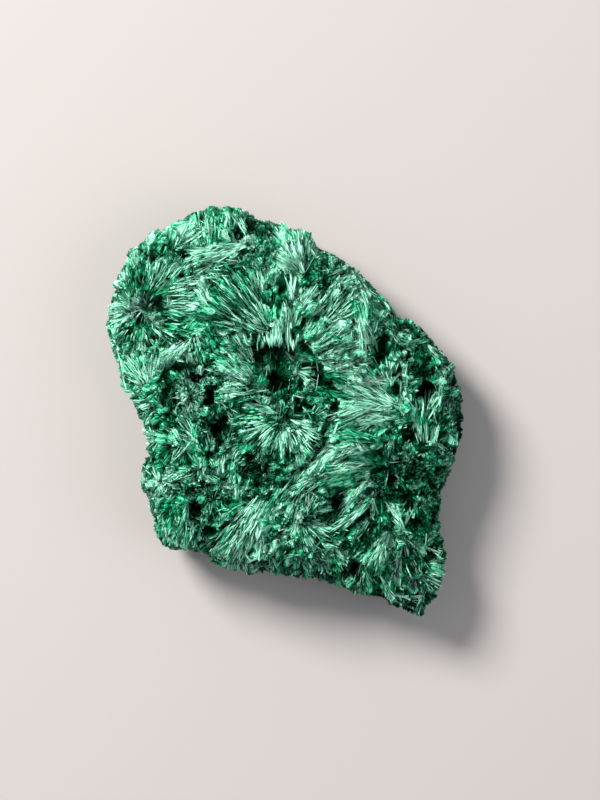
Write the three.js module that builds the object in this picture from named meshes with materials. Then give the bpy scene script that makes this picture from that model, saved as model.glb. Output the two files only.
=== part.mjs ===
// A cabinet specimen of fibrous malachite, broken from a vein.
// The slab lies on its back. X runs to the right across the crystal face, Y up the face, Z out of it.
// Sprays of fibres radiate from small cavities, and each spray stands as a ribbed fan with a ragged end.
import * as THREE from 'three';
import { ImprovedNoise } from 'three/addons/math/ImprovedNoise.js';

// Overall sizes in millimetres
const CREST_HEIGHT = 12.9;
const RIM_HEIGHT = 5.6;
const RIM_SWAY = 1.7;
const RIM_ROUNDING = 4.6;
const CROWN_ACROSS = 0.0085;
const CROWN_ALONG = 0.0045;
const FALL_TO_RIGHT = 0.05;

// Relief of the crystal face, in millimetres
const RIB_HALF_PITCH = 0.46;
const RIB_DEPTH = 0.31;
const ROW_STEP = 1.35;
const LUMP_DEPTH = 0.28;
const LUMP_SIZE = 1.7;
const EDGE_RAGGEDNESS = 0.25;

// Broken sides and back, in millimetres
const SIDE_LUMP_DEPTH = 0.9;
const SIDE_RIB_DEPTH = 0.3;
const BACK_HOLLOW = 1.5;
const SEAT_RADIUS = 3.5;

// How finely the skin is divided, in millimetres between neighbouring points
const RIM_SPACING = 0.72;
const FACE_SPACING = 0.74;
const RIBBED_SPACING = 0.94;
const LEAST_SPACING = 0.34;
const FACE_INSET = 1.1;

const noise = new ImprovedNoise();
const radians = THREE.MathUtils.degToRad;
const clamp = THREE.MathUtils.clamp;
const lerp = THREE.MathUtils.lerp;
const smoothstep = THREE.MathUtils.smoothstep;

// The same random number from 0 to 1 each time for the same three numbers
function chance(a, b, c) {
  const wave = Math.sin(a * 127.1 + b * 311.7 + c * 74.7) * 43758.5453;
  return wave - Math.floor(wave);
}

// Outline of the face, clockwise from the top, as X and Y in millimetres
const OUTLINE = [
  [-5.8, 22.4], [-3.8, 21.7], [-2.6, 21.1], [-1.3, 20.6], [0.6, 20.2], [2.1, 19.7],
  [3.8, 18.3], [5.7, 16.9], [7.9, 15.9], [9.1, 14.4], [11.1, 12.6], [12.6, 10.4],
  [14.1, 9.8], [16.1, 8.1], [17.7, 5.9], [19.2, 3.4], [19.5, 0.9], [19.7, -2.6],
  [19.2, -4.5], [18.3, -6.8], [17.9, -8.6], [17.3, -10.1], [17.2, -13.1], [17.9, -15.7],
  [17.5, -18.0], [16.1, -20.9], [15.5, -22.0], [14.5, -22.6], [13.6, -22.4], [12.4, -22.0],
  [10.9, -21.3], [9.8, -20.7], [7.9, -20.3], [5.3, -19.4], [3.1, -18.7], [0.6, -18.3],
  [-2.6, -18.2], [-5.0, -17.7], [-6.5, -17.4], [-7.9, -16.8], [-9.0, -16.1], [-10.7, -15.8],
  [-12.7, -15.4], [-13.6, -14.7], [-14.1, -13.9], [-14.8, -13.1], [-14.6, -12.0], [-15.3, -11.0],
  [-15.5, -9.6], [-16.0, -8.4], [-15.7, -6.1], [-15.3, -3.6], [-16.4, -0.1], [-17.9, 2.8],
  [-19.0, 5.6], [-19.6, 8.1], [-19.7, 10.0], [-19.2, 12.5], [-18.2, 15.4], [-17.1, 17.7],
  [-14.6, 19.5], [-12.4, 20.9], [-9.8, 21.9], [-8.0, 22.4],
];

// A spray is a fan of fibres: where it starts, which way it points and how wide, how far it reaches
// and how high its far end stands. Angles are in degrees, turning left from the X axis.
const SPRAYS = [];
function spray(x, y, headingDegrees, halfSpreadDegrees, reach, lift) {
  const seed = SPRAYS.length + 1;
  const heading = radians(headingDegrees);
  const halfSpread = radians(halfSpreadDegrees);
  const fibreStep = Math.min(RIB_HALF_PITCH / (0.75 * reach), halfSpread / 2);
  const count = 2 * Math.round(halfSpread / fibreStep) + 1;
  const ribs = [];
  for (let i = 0; i < count; i += 1) {
    const loose = 0.3 * (chance(seed, i, 1) - 0.5);
    const side = i % 2 === 0 ? -1 : 1;
    ribs.push({
      angle: ((i + loose) / (count - 1)) * 2 * halfSpread - halfSpread,
      rise: side * RIB_DEPTH * (0.7 + 0.55 * chance(seed, i, 2)),
      reach: reach * (0.84 + 0.3 * chance(seed, Math.floor(i / 3), 3)),
    });
  }
  SPRAYS.push({ x, y, heading, halfSpread, reach, lift, ribs });
}

// Small sprays strewn over an oval patch, each turned at random
function strew(x, y, halfWidth, halfHeight, count, reach, lift) {
  for (let i = 0; i < count; i += 1) {
    const turn = 2 * Math.PI * chance(x, y, i);
    const out = Math.sqrt(chance(y, x, i + 0.5));
    const size = reach * (0.7 + 0.6 * chance(i, x, y));
    const heading = 360 * chance(i, y, x + 3);
    spray(x + halfWidth * out * Math.cos(turn), y + halfHeight * out * Math.sin(turn), heading, 42, size, lift);
  }
}

// Upper left rosette, all round its pit
spray(-15.8, 10.7, 16, 24, 7.4, 1.0);
spray(-15.8, 10.7, 58, 18, 6.6, 0.8);
spray(-15.8, 10.7, 98, 24, 6.4, 0.8);
spray(-15.8, 10.7, 150, 30, 3.6, 0.5);
spray(-15.8, 10.7, 212, 32, 3.4, 0.5);
spray(-15.8, 10.7, 264, 20, 4.2, 0.6);
spray(-15.8, 10.7, 312, 28, 4.6, 0.8);
// Pale fan at the left edge
spray(-14.7, 2.1, 122, 36, 4.2, 0.9);
// Top left fan and the folded columns beside it
spray(-4.7, 18.9, 196, 20, 6.6, 1.2);
spray(-4.7, 18.9, 160, 18, 5.4, 1.0);
spray(-4.9, 18.6, 118, 22, 4.2, 1.1);
spray(-8.4, 16.8, 98, 15, 5.2, 1.1);
spray(-10.4, 16.6, 116, 22, 4.8, 0.9);
// Small round cluster and the pale fan beside it
spray(-2.3, 17.4, 90, 180, 1.7, 0.6);
spray(1.8, 14.7, 112, 40, 5.4, 1.4);
spray(-1.9, 12.4, 102, 34, 3.0, 0.8);
// Band of fibres down the upper right
spray(6.6, 16.4, 291, 13, 7.2, 1.0);
spray(4.3, 9.9, 38, 24, 4.8, 0.9);
spray(8.2, 6.4, 100, 30, 4.2, 1.0);
spray(12.2, 8.0, 120, 30, 3.0, 0.5);
// Fans that open away from the middle cavity
spray(-0.2, 7.0, 138, 22, 10.0, 1.4);
spray(-0.5, 6.2, 96, 19, 5.2, 1.2);
spray(0.6, 7.4, 68, 14, 4.8, 0.9);
spray(0.2, 5.4, 26, 24, 6.0, 1.3);
spray(2.4, 4.4, 2, 18, 7.2, 0.8);
spray(-2.6, 4.0, 158, 26, 5.6, 1.1);
spray(-2.2, 2.1, 192, 22, 5.0, 1.0);
spray(-0.3, -0.2, 226, 26, 5.6, 1.1);
spray(-0.3, -0.6, 268, 20, 5.0, 1.0);
spray(0.1, -0.3, 310, 26, 4.8, 1.1);
spray(2.6, 2.6, 338, 26, 4.0, 0.4);
// Cluster inside the middle cavity
spray(1.8, 4.2, 90, 180, 1.3, 0.9);
// Left middle
spray(-10.4, -1.6, 140, 40, 3.2, 0.7);
spray(-9.2, -4.8, 125, 34, 3.2, 0.8);
spray(-5.4, -0.8, 250, 34, 3.4, 0.8);
spray(-12.6, -6.2, 150, 60, 2.8, 0.9);
spray(-12.8, -9.0, 190, 60, 2.4, 0.7);
spray(-7.9, -9.7, 90, 180, 2.0, 0.6);
spray(-10.4, -10.4, 250, 24, 3.6, 0.9);
spray(-12.6, -11.4, 220, 30, 2.6, 0.7);
spray(-4.6, -7.4, 236, 24, 5.6, 0.9);
spray(-1.0, -7.8, 238, 20, 6.4, 0.9);
spray(-5.6, -12.4, 250, 28, 4.4, 0.8);
spray(-1.4, -12.8, 262, 26, 4.6, 0.8);
// Long sweeping fans of the right middle, which end in a raised step
spray(12.0, -1.6, 160, 15, 6.8, 1.3);
spray(12.0, -3.2, 187, 14, 7.6, 1.3);
spray(10.4, -4.8, 206, 14, 8.4, 1.4);
spray(9.6, -6.6, 204, 12, 8.6, 1.1);
// Right rosette and the fan below the right pit
spray(15.1, -3.3, 98, 28, 5.2, 0.9);
spray(10.5, 3.4, 95, 28, 3.2, 0.7);
spray(16.2, 4.0, 62, 34, 3.4, 0.8);
spray(16.0, 1.4, 350, 40, 2.8, 0.6);
// Ring of short fibres at the lower right
spray(4.3, -9.8, 90, 180, 1.8, 0.8);
spray(5.6, -9.2, 6, 30, 4.2, 1.0);
spray(5.4, -10.6, 324, 24, 6.2, 1.1);
spray(1.4, -12.0, 312, 30, 5.0, 1.0);
spray(1.4, -12.0, 262, 24, 4.0, 0.8);
// Bottom and bottom right
spray(11.0, -12.6, 246, 22, 4.6, 1.0);
spray(12.0, -9.4, 284, 16, 5.2, 0.9);
spray(3.4, -15.2, 270, 34, 3.6, 0.7);
spray(8.0, -15.6, 284, 28, 4.6, 0.8);
spray(14.2, -16.6, 340, 40, 3.2, 0.8);
spray(12.4, -16.4, 296, 26, 5.4, 0.9);
spray(14.6, -11.6, 340, 34, 2.6, 0.6);
// Granular patches
strew(-9.6, 2.6, 3.4, 3.2, 9, 1.5, 0.5);
strew(-13.4, -7.6, 2.4, 3.4, 8, 1.4, 0.5);
strew(15.2, -7.6, 2.4, 3.2, 12, 1.6, 0.5);
strew(14.6, 7.2, 2.6, 2.0, 8, 1.6, 0.5);
strew(16.8, -0.4, 2.0, 3.4, 8, 1.4, 0.5);
strew(-8.6, -6.6, 3.4, 2.2, 9, 1.5, 0.4);
strew(3.0, -16.4, 6.0, 1.8, 10, 1.6, 0.5);
strew(4.6, 1.4, 1.8, 1.4, 5, 1.3, 0.3);
strew(1.4, 17.8, 2.6, 1.4, 5, 1.5, 0.4);
strew(9.6, 12.6, 1.2, 2.4, 5, 1.5, 0.4);
strew(-13.2, 17.4, 2.6, 1.8, 6, 1.7, 0.5);
strew(14.2, -13.6, 2.2, 1.6, 6, 1.4, 0.5);
strew(-0.6, -6.4, 3.6, 1.0, 8, 1.4, 0.4);

// A pit is an oval hollow: centre, half width, half height, turn in degrees and depth
const PITS = [];
function pit(x, y, halfWidth, halfHeight, turn, depth) {
  PITS.push({ x, y, halfWidth, halfHeight, turn: radians(turn), depth });
}

// Middle cavity, its deepest corner and its dark left shelf
pit(-0.2, 4.7, 4.4, 3.2, 0, 2.1);
pit(-1.0, 3.6, 1.7, 1.4, 10, 2.2);
pit(3.4, 4.0, 0.8, 1.6, 10, 1.4);
pit(-2.6, 6.3, 1.3, 1.0, 0, 0.9);
// Green floor to the right of it
pit(4.4, 1.9, 2.2, 1.6, -20, 0.7);
// Upper left rosette
pit(-15.8, 10.6, 1.8, 1.6, 0, 1.0);
pit(-14.1, 11.6, 1.3, 1.0, -10, 1.8);
pit(-14.7, 7.6, 0.6, 1.0, -20, 0.9);
// Top
pit(-5.4, 18.9, 0.8, 1.2, 0, 1.6);
pit(0.4, 13.9, 1.3, 1.5, 10, 1.6);
// Left middle, a group of small hollows
pit(-11.8, 4.6, 1.2, 0.9, 0, 1.5);
pit(-8.2, 1.7, 0.9, 0.8, 0, 1.6);
pit(-9.2, 3.6, 0.7, 0.6, 0, 1.0);
pit(-7.2, -2.6, 1.1, 1.5, -10, 1.8);
pit(-10.6, 1.2, 2.4, 2.0, 20, 0.5);
pit(-7.9, -9.7, 0.7, 0.7, 0, 0.9);
// Right
pit(10.8, 6.4, 1.3, 2.1, 15, 2.0);
pit(12.2, 4.0, 0.6, 0.6, 0, 1.0);
pit(11.8, 2.3, 0.7, 0.7, 0, 1.0);
pit(15.3, 2.2, 1.3, 1.5, 20, 2.2);
pit(15.1, 4.0, 0.9, 0.8, 0, 1.0);
pit(13.4, -2.9, 0.9, 0.8, 0, 1.5);
pit(17.2, -3.0, 0.7, 0.7, 0, 1.0);
pit(18.2, -4.4, 0.7, 0.9, 0, 1.0);
// Lower right ring
pit(5.9, -10.0, 0.8, 2.0, 0, 1.8);
pit(3.6, -8.4, 0.9, 0.6, 0, 1.0);
pit(4.2, -12.0, 1.6, 0.7, 0, 1.0);
pit(8.4, -13.6, 1.4, 2.2, 35, 1.2);

// A cleft is a narrow V between two points, with its half width and depth
const CLEFTS = [];
function cleft(x1, y1, x2, y2, halfWidth, depth) {
  CLEFTS.push({ x1, y1, x2, y2, halfWidth, depth });
}

cleft(-3.6, 21.6, -3.4, 19.0, 0.7, 1.3);
cleft(-12.6, 5.2, -13.2, 1.2, 0.7, 1.3);
cleft(-12.8, 4.9, -9.4, 5.4, 0.6, 1.0);
cleft(-9.7, -10.2, -10.6, -12.8, 0.7, 1.4);
cleft(-8.1, -12.0, -9.0, -14.7, 0.8, 1.5);
cleft(5.4, 0.2, 4.4, -3.4, 0.8, 1.3);
cleft(4.4, -3.4, 0.4, -7.6, 0.8, 1.1);
cleft(7.4, 9.6, 9.6, 8.0, 0.6, 1.0);
cleft(3.6, 13.0, 6.4, 11.0, 0.6, 0.9);
cleft(-6.2, -5.4, -2.6, -7.2, 0.8, 1.0);
cleft(12.2, -6.4, 11.6, -10.4, 0.9, 0.9);
cleft(11.2, -14.2, 12.4, -18.4, 0.6, 1.0);
cleft(14.8, -8.0, 16.6, -8.6, 0.8, 0.9);

// Rounded lumps: one at the centre of each irregular cell, zero at the borders
function lumps(x, y, size) {
  const column = Math.floor(x / size);
  const row = Math.floor(y / size);
  let nearest = 9;
  let second = 9;
  for (let i = -1; i <= 1; i += 1) {
    for (let j = -1; j <= 1; j += 1) {
      const centreX = column + i + chance(column + i, row + j, 1);
      const centreY = row + j + chance(column + i, row + j, 2);
      const gap = Math.hypot(x / size - centreX, y / size - centreY);
      if (gap < nearest) {
        second = nearest;
        nearest = gap;
      } else if (gap < second) {
        second = gap;
      }
    }
  }
  return clamp((second - nearest) * 1.6, 0, 1);
}

// Rise and reach of a fan's ribs at an angle from its middle, between the two nearest ribs
function ribAt(fan, angle) {
  const ribs = fan.ribs;
  let i = 0;
  while (i < ribs.length - 2 && ribs[i + 1].angle < angle) {
    i += 1;
  }
  const share = clamp((angle - ribs[i].angle) / (ribs[i + 1].angle - ribs[i].angle), 0, 1);
  return {
    rise: lerp(ribs[i].rise, ribs[i + 1].rise, share),
    reach: lerp(ribs[i].reach, ribs[i + 1].reach, share),
  };
}

function sprayHeight(fan, x, y) {
  const dx = x - fan.x;
  const dy = y - fan.y;
  const distance = Math.hypot(dx, dy);
  if (distance > fan.reach * 1.25) {
    return 0;
  }
  const turned = Math.atan2(dy, dx) - fan.heading;
  const angle = Math.atan2(Math.sin(turned), Math.cos(turned));
  const rib = ribAt(fan, angle);
  const inside = 1 - smoothstep(Math.abs(angle) / fan.halfSpread, 0.92, 1.1);
  const started = smoothstep(distance / fan.reach, 0.0, 0.3);
  const ended = 1 - smoothstep(distance / rib.reach, 0.97, 1.09);
  const profile = fan.lift * (0.35 + 0.65 * Math.min(distance / fan.reach, 1));
  return inside * started * ended * (profile + rib.rise);
}

function tallestSpray(x, y) {
  let best = null;
  let height = 0;
  for (const fan of SPRAYS) {
    const value = sprayHeight(fan, x, y);
    if (value > height) {
      height = value;
      best = fan;
    }
  }
  return { best, height };
}

function pitDepth(hollow, x, y) {
  const dx = x - hollow.x;
  const dy = y - hollow.y;
  const across = (dx * Math.cos(hollow.turn) + dy * Math.sin(hollow.turn)) / hollow.halfWidth;
  const along = (dy * Math.cos(hollow.turn) - dx * Math.sin(hollow.turn)) / hollow.halfHeight;
  const wobble = 0.35 * noise.noise(x * 0.9, y * 0.9, hollow.x);
  return hollow.depth * (1 - smoothstep(Math.hypot(across, along) + wobble, 0.5, 1.08));
}

function cleftDepth(gap, x, y) {
  const runX = gap.x2 - gap.x1;
  const runY = gap.y2 - gap.y1;
  const length = Math.hypot(runX, runY);
  const share = clamp(((x - gap.x1) * runX + (y - gap.y1) * runY) / (length * length), 0, 1);
  const away = Math.hypot(x - gap.x1 - share * runX, y - gap.y1 - share * runY);
  return gap.depth * (1 - smoothstep(away / gap.halfWidth, 0.1, 1.15));
}

// Height of the widest outline, which rises and falls as it goes round
function rimHeight(x, y) {
  return RIM_HEIGHT + RIM_SWAY * noise.noise(x * 0.11, y * 0.11, 8.8);
}

// Height of the crystal face at a point, where inward is its distance from the outline
function faceHeight(x, y, inward) {
  let deepest = 0;
  let sum = 0;
  for (const hollow of PITS) {
    const depth = pitDepth(hollow, x, y);
    deepest = Math.max(deepest, depth);
    sum += depth;
  }
  for (const gap of CLEFTS) {
    const depth = cleftDepth(gap, x, y);
    deepest = Math.max(deepest, depth);
    sum += depth;
  }
  const hollowing = 0.5 * (deepest + sum);
  const crown = CREST_HEIGHT - CROWN_ACROSS * x * x - CROWN_ALONG * y * y - FALL_TO_RIGHT * x;
  const roll = 0.7 * noise.noise(x * 0.13, y * 0.13, 3.3);
  const lumpy = LUMP_DEPTH * (lumps(x, y, LUMP_SIZE) - 0.5);
  const open = crown + roll + lumpy + tallestSpray(x, y).height - hollowing;
  const across = clamp(inward / RIM_ROUNDING, 0, 1);
  const rounding = Math.pow(1 - Math.pow(1 - across, 2.2), 0.55);
  return lerp(rimHeight(x, y), open, rounding);
}

// The outline as evenly spaced points with a small ragged edge. Outward is along the ray from the
// middle, lengthened where the edge runs slanting to it, so that inset rows never cross themselves.
const outlineCurve = new THREE.CatmullRomCurve3(
  OUTLINE.map(([x, y]) => new THREE.Vector3(x, y, 0)),
  true,
  'centripetal',
);
outlineCurve.arcLengthDivisions = 3000;
const rimCount = Math.round(outlineCurve.getLength() / RIM_SPACING);
const rimPoints = [];
for (let step = 0; step < rimCount; step += 1) {
  const point = outlineCurve.getPointAt(step / rimCount);
  const tangent = outlineCurve.getTangentAt(step / rimCount);
  const ragged = EDGE_RAGGEDNESS * noise.noise(point.x * 1.1, point.y * 1.1, 5.5);
  const x = point.x - tangent.y * ragged;
  const y = point.y + tangent.x * ragged;
  const radius = Math.hypot(x, y);
  const square = clamp((tangent.x * y - tangent.y * x) / radius, 0.6, 1);
  rimPoints.push({
    x,
    y,
    outX: x / radius / square,
    outY: y / radius / square,
    along: (step / rimCount) * outlineCurve.getLength(),
  });
}

function distanceToLoop(loop, x, y) {
  let nearest = 99;
  for (let i = 0; i < loop.length; i += 1) {
    const [ax, ay] = loop[i];
    const [bx, by] = loop[(i + 1) % loop.length];
    const runX = bx - ax;
    const runY = by - ay;
    const share = clamp(((x - ax) * runX + (y - ay) * runY) / (runX * runX + runY * runY), 0, 1);
    nearest = Math.min(nearest, Math.hypot(x - ax - share * runX, y - ay - share * runY));
  }
  return nearest;
}

const rimLoop = rimPoints.map((point) => [point.x, point.y]);
function distanceInward(x, y) {
  return distanceToLoop(rimLoop, x, y);
}

function insideLoop(loop, x, y) {
  let inside = false;
  for (let i = 0, j = loop.length - 1; i < loop.length; j = i, i += 1) {
    const [ax, ay] = loop[i];
    const [bx, by] = loop[j];
    if (ay > y !== by > y && x < ((bx - ax) * (y - ay)) / (by - ay) + ax) {
      inside = !inside;
    }
  }
  return inside;
}

// Delaunay triangles of points in a plane, each turning left
function makeFace(points, a, b, c) {
  const [ax, ay] = points[a];
  const bx = points[b][0] - ax;
  const by = points[b][1] - ay;
  const cx = points[c][0] - ax;
  const cy = points[c][1] - ay;
  const turn = 2 * (bx * cy - by * cx);
  const x = (cy * (bx * bx + by * by) - by * (cx * cx + cy * cy)) / turn;
  const y = (bx * (cx * cx + cy * cy) - cx * (bx * bx + by * by)) / turn;
  return { corners: [a, b, c], x: ax + x, y: ay + y, squared: x * x + y * y };
}

function triangulate(flat) {
  const far = 900;
  const points = flat.concat([[-far, -far], [far, -far], [0, far]]);
  let faces = [makeFace(points, flat.length, flat.length + 1, flat.length + 2)];
  for (let i = 0; i < flat.length; i += 1) {
    const [x, y] = flat[i];
    const kept = [];
    const edges = new Map();
    for (const face of faces) {
      const dx = x - face.x;
      const dy = y - face.y;
      if (dx * dx + dy * dy >= face.squared) {
        kept.push(face);
        continue;
      }
      for (let k = 0; k < 3; k += 1) {
        const from = face.corners[k];
        const to = face.corners[(k + 1) % 3];
        if (!edges.delete(`${to},${from}`)) {
          edges.set(`${from},${to}`, [from, to]);
        }
      }
    }
    for (const [from, to] of edges.values()) {
      kept.push(makeFace(points, from, to, i));
    }
    faces = kept;
  }
  return faces.map((face) => face.corners).filter((corners) => Math.max(...corners) < flat.length);
}

const vertices = [];
const triangles = [];

function addVertex(x, y, z) {
  vertices.push([x, y, z]);
  return vertices.length - 1;
}

// Joins two closed clockwise rings of vertices with a band of triangles, going down or inward below
function joinRings(upper, lower) {
  let i = 0;
  let j = 0;
  while (i < upper.length || j < lower.length) {
    const a = upper[i % upper.length];
    const b = lower[j % lower.length];
    if (j >= lower.length || (i < upper.length && (i + 0.5) / upper.length <= (j + 0.5) / lower.length)) {
      triangles.push([a, upper[(i + 1) % upper.length], b]);
      i += 1;
    } else {
      triangles.push([a, lower[(j + 1) % lower.length], b]);
      j += 1;
    }
  }
}

// Crystal face: the rim of the face, then points along the ribs of each fan, then points that fill
// the gaps between them
const faceLoop = rimPoints.map((point) => [point.x - point.outX * FACE_INSET, point.y - point.outY * FACE_INSET]);
const facePoints = faceLoop.slice();

function roomFor(x, y, spacing) {
  for (const [ax, ay] of facePoints) {
    if ((x - ax) * (x - ax) + (y - ay) * (y - ay) < spacing * spacing) {
      return false;
    }
  }
  return insideLoop(faceLoop, x, y) && distanceToLoop(faceLoop, x, y) > LEAST_SPACING;
}

for (const fan of SPRAYS) {
  for (const rib of fan.ribs) {
    const angle = fan.heading + rib.angle;
    const rows = [rib.reach * 0.965, rib.reach * 1.1];
    for (let out = rib.reach * 0.965 - ROW_STEP; out > 0.3 * fan.reach; out -= ROW_STEP) {
      rows.push(out);
    }
    for (const out of rows) {
      const x = fan.x + out * Math.cos(angle);
      const y = fan.y + out * Math.sin(angle);
      if (!roomFor(x, y, LEAST_SPACING)) {
        continue;
      }
      if (tallestSpray(x, y).best === fan || out > rib.reach) {
        facePoints.push([x, y]);
      }
    }
  }
}
const fanPointCount = facePoints.length;
for (let row = -60; row <= 60; row += 1) {
  for (let column = -60; column <= 60; column += 1) {
    const loose = 0.15 * FACE_SPACING;
    const x = (column + (row % 2) * 0.5) * FACE_SPACING + loose * (chance(row, column, 4) - 0.5);
    const y = row * FACE_SPACING * 0.866 + loose * (chance(row, column, 5) - 0.5);
    const covered = tallestSpray(x, y).best;
    const ribbed = covered !== null && covered.reach > 2.5;
    if (roomFor(x, y, ribbed ? RIBBED_SPACING : 0.7 * FACE_SPACING)) {
      facePoints.push([x, y]);
    }
  }
}
const faceVertices = facePoints.map(([x, y]) => addVertex(x, y, faceHeight(x, y, distanceInward(x, y))));
for (const [a, b, c] of triangulate(facePoints)) {
  const x = (facePoints[a][0] + facePoints[b][0] + facePoints[c][0]) / 3;
  const y = (facePoints[a][1] + facePoints[b][1] + facePoints[c][1]) / 3;
  if (insideLoop(faceLoop, x, y)) {
    triangles.push([faceVertices[a], faceVertices[b], faceVertices[c]]);
  }
}

// Rounded rim and broken sides, ribbed by fibres that run down them. Each row gives its distance
// inward from the outline and its height as a share of the rim's; 2 stands for a row on the face.
const SIDE_ROWS = [
  [0.72, 2], [0.36, 2], [0.12, 2], [0, 1], [0.06, 0.76], [0.28, 0.5], [0.7, 0.28], [1.2, 0.12], [2.0, 0],
];
let upper = faceVertices.slice(0, rimCount);
for (const [inset, share] of SIDE_ROWS) {
  const row = rimPoints.map((point, index) => {
    const top = rimHeight(point.x, point.y);
    const high = share === 2 ? top + 4 * inset + 1 : top * share;
    const rib = SIDE_RIB_DEPTH * (2 * chance(index, 3, Math.floor(high / 2.4)) - 1);
    const lump = SIDE_LUMP_DEPTH * (lumps(point.along + 0.4 * high, high * 1.2, 2.6) - 0.8);
    const wander = 0.8 * noise.noise(point.x * 0.25, point.y * 0.25, high * 0.3 + 4);
    const rough = inset > 1.5 ? wander : rib + lump + wander * (1 - Math.min(share, 1));
    const loose = share === 1 ? 0.2 : share === 2 ? 0.5 : 1;
    const out = Math.min(0.1, -inset + loose * rough);
    const x = point.x + point.outX * out;
    const y = point.y + point.outY * out;
    if (share === 2) {
      return addVertex(x, y, faceHeight(x, y, Math.max(0.04, inset)));
    }
    const sway = share > 0 ? 0.6 * noise.noise(point.x * 0.4, point.y * 0.4, share * 5) : 0;
    return addVertex(x, y, Math.max(0, top * share + sway));
  });
  joinRings(upper, row);
  upper = row;
}

// Back: shallow hollows between flat patches that the slab rests on
function backHeight(x, y, inward) {
  const wide = noise.noise(x * 0.14, y * 0.14, 12.5) + 0.25;
  const fine = 0.5 * noise.noise(x * 0.45, y * 0.45, 2.5) + 0.3 * (lumps(x, y, 2.9) - 0.6);
  const seat = smoothstep(Math.hypot(x, y), SEAT_RADIUS, SEAT_RADIUS + 2);
  const lifted = 0.5 * (1 - smoothstep(inward, 2.0, 4.0));
  return Math.max(0, BACK_HOLLOW * seat * (wide + fine) + lifted - 0.15);
}

const backLoop = upper.map((index) => vertices[index]);
const backPoints = backLoop.map(([x, y]) => [x, y]);
const BACK_SPACING = 1.75;
for (let row = -30; row <= 30; row += 1) {
  for (let column = -30; column <= 30; column += 1) {
    const x = (column + (row % 2) * 0.5) * BACK_SPACING + 0.5 * (chance(row, column, 8) - 0.5);
    const y = row * BACK_SPACING * 0.866 + 0.5 * (chance(row, column, 9) - 0.5);
    if (insideLoop(backLoop, x, y) && distanceToLoop(backLoop, x, y) > 0.9) {
      backPoints.push([x, y]);
    }
  }
}
const backVertices = backPoints.map(([x, y], index) =>
  index < rimCount ? upper[index] : addVertex(x, y, backHeight(x, y, distanceInward(x, y))),
);
for (const [a, b, c] of triangulate(backPoints)) {
  const x = (backPoints[a][0] + backPoints[b][0] + backPoints[c][0]) / 3;
  const y = (backPoints[a][1] + backPoints[b][1] + backPoints[c][1]) / 3;
  if (insideLoop(backLoop, x, y)) {
    triangles.push([backVertices[a], backVertices[c], backVertices[b]]);
  }
}

function bodyGeometry() {
  const geometry = new THREE.BufferGeometry();
  geometry.setAttribute('position', new THREE.Float32BufferAttribute(vertices.flat(), 3));
  geometry.setIndex(triangles.flat());
  geometry.computeBoundingBox();
  const box = geometry.boundingBox;
  geometry.translate(-(box.min.x + box.max.x) / 2, -(box.min.y + box.max.y) / 2, -box.min.z);
  geometry.computeVertexNormals();
  return geometry;
}

const malachite = new THREE.Mesh(
  bodyGeometry(),
  new THREE.MeshStandardMaterial({ color: 0x1c8a5c, roughness: 0.6, metalness: 0 }),
);
malachite.name = 'malachite';

const group = new THREE.Group();
group.add(malachite);
export default group;
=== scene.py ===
# Dressing of a broken vein slab of fibrous malachite. All lengths in the tables are millimetres.
import math

import bmesh
import bpy
import numpy as np
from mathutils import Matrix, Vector
from mathutils.bvhtree import BVHTree


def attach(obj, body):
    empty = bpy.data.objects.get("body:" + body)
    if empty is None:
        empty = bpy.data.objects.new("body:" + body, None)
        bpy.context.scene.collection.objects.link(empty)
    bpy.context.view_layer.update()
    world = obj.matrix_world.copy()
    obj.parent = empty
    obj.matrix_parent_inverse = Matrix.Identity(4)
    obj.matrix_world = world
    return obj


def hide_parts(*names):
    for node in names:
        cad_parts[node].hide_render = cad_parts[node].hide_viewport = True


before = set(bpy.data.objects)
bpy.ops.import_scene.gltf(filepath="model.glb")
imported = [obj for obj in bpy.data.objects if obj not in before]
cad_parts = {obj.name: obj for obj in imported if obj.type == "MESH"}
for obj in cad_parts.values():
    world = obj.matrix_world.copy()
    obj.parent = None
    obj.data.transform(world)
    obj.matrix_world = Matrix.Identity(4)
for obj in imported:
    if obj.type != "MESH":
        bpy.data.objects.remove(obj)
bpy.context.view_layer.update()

# Metres in a millimetre, a length beyond every other, and a height above the whole slab
MM = 0.001
FAR = 1e9
SKY = 30.0

# From the middle that the tables are written round to the middle of the frame
SHIFT_X = 0.083
SHIFT_Y = 0.069

# Camera: straight down on the crystal face, one photo pixel is 0.11 mm on the slab's outline
VIEW_X = 1.68
VIEW_Y = 1.17
VIEW_TALL = 88.0
OUTLINE_HEIGHT = 6.0
CAMERA_DISTANCE = 450.0

# Fibre tufts, and the shape of a tuft in mm
FACE_TUFTS = 7000
SIDE_TUFTS = 3600
TUFT_FIBRES = 9
TUFT_KINDS = 10
TUFT_LENGTH = 1.25
PIECE_TUFTS = 2400
OVERHANG = 0.22
ROOT_DEPTH = 0.12
TUFT_SIZES = {
    "Fibre radius": 0.038,
    "Blunt end": 0.62,
    "Slant of the end": 0.35,
    "Half width": 0.25,
    "Half depth": 0.05,
    "Splay": 0.10,
    "Root shade": 0.04,
}

# Strands of the table: how many more and how much finer than written, and the lengths they are laid in
STRANDS_MORE = 1.4
STRANDS_FINER = 0.76
DUSTY_LIMIT = 0.62
RAY_FIBRES = 4
RAY_UNIT = 0.4
RAY_STEP = 0.9
RAY_LAP = 0.12
RAY_WOBBLE = 0.07
RAY_BEND = 0.012
RAYS_LEFT_OUT = 0.12
RAYS_FOLLOW = 0.7
RAY_SIZES = {
    "Fibre radius": 0.068,
    "Blunt end": 1.1,
    "Slant of the end": 0.3,
    "Half width": 0.14,
    "Half depth": 0.03,
    "Splay": 0.05,
    "Root shade": 0.40,
}

# Strands end at pits deeper than this on the hollow scale, which also sets painted shade, unless they are
# laid over them
PIT_EDGE = 0.6

# Painted shadow lines: thin dark strands beside the strands
SHADOW_LINES_BESIDE = 0.62
SHADOW_LINE_FIBRES = 2
SHADOW_LINE_WIDTH = 0.13
SHADOW_LINE_TONE = 0.06

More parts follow.
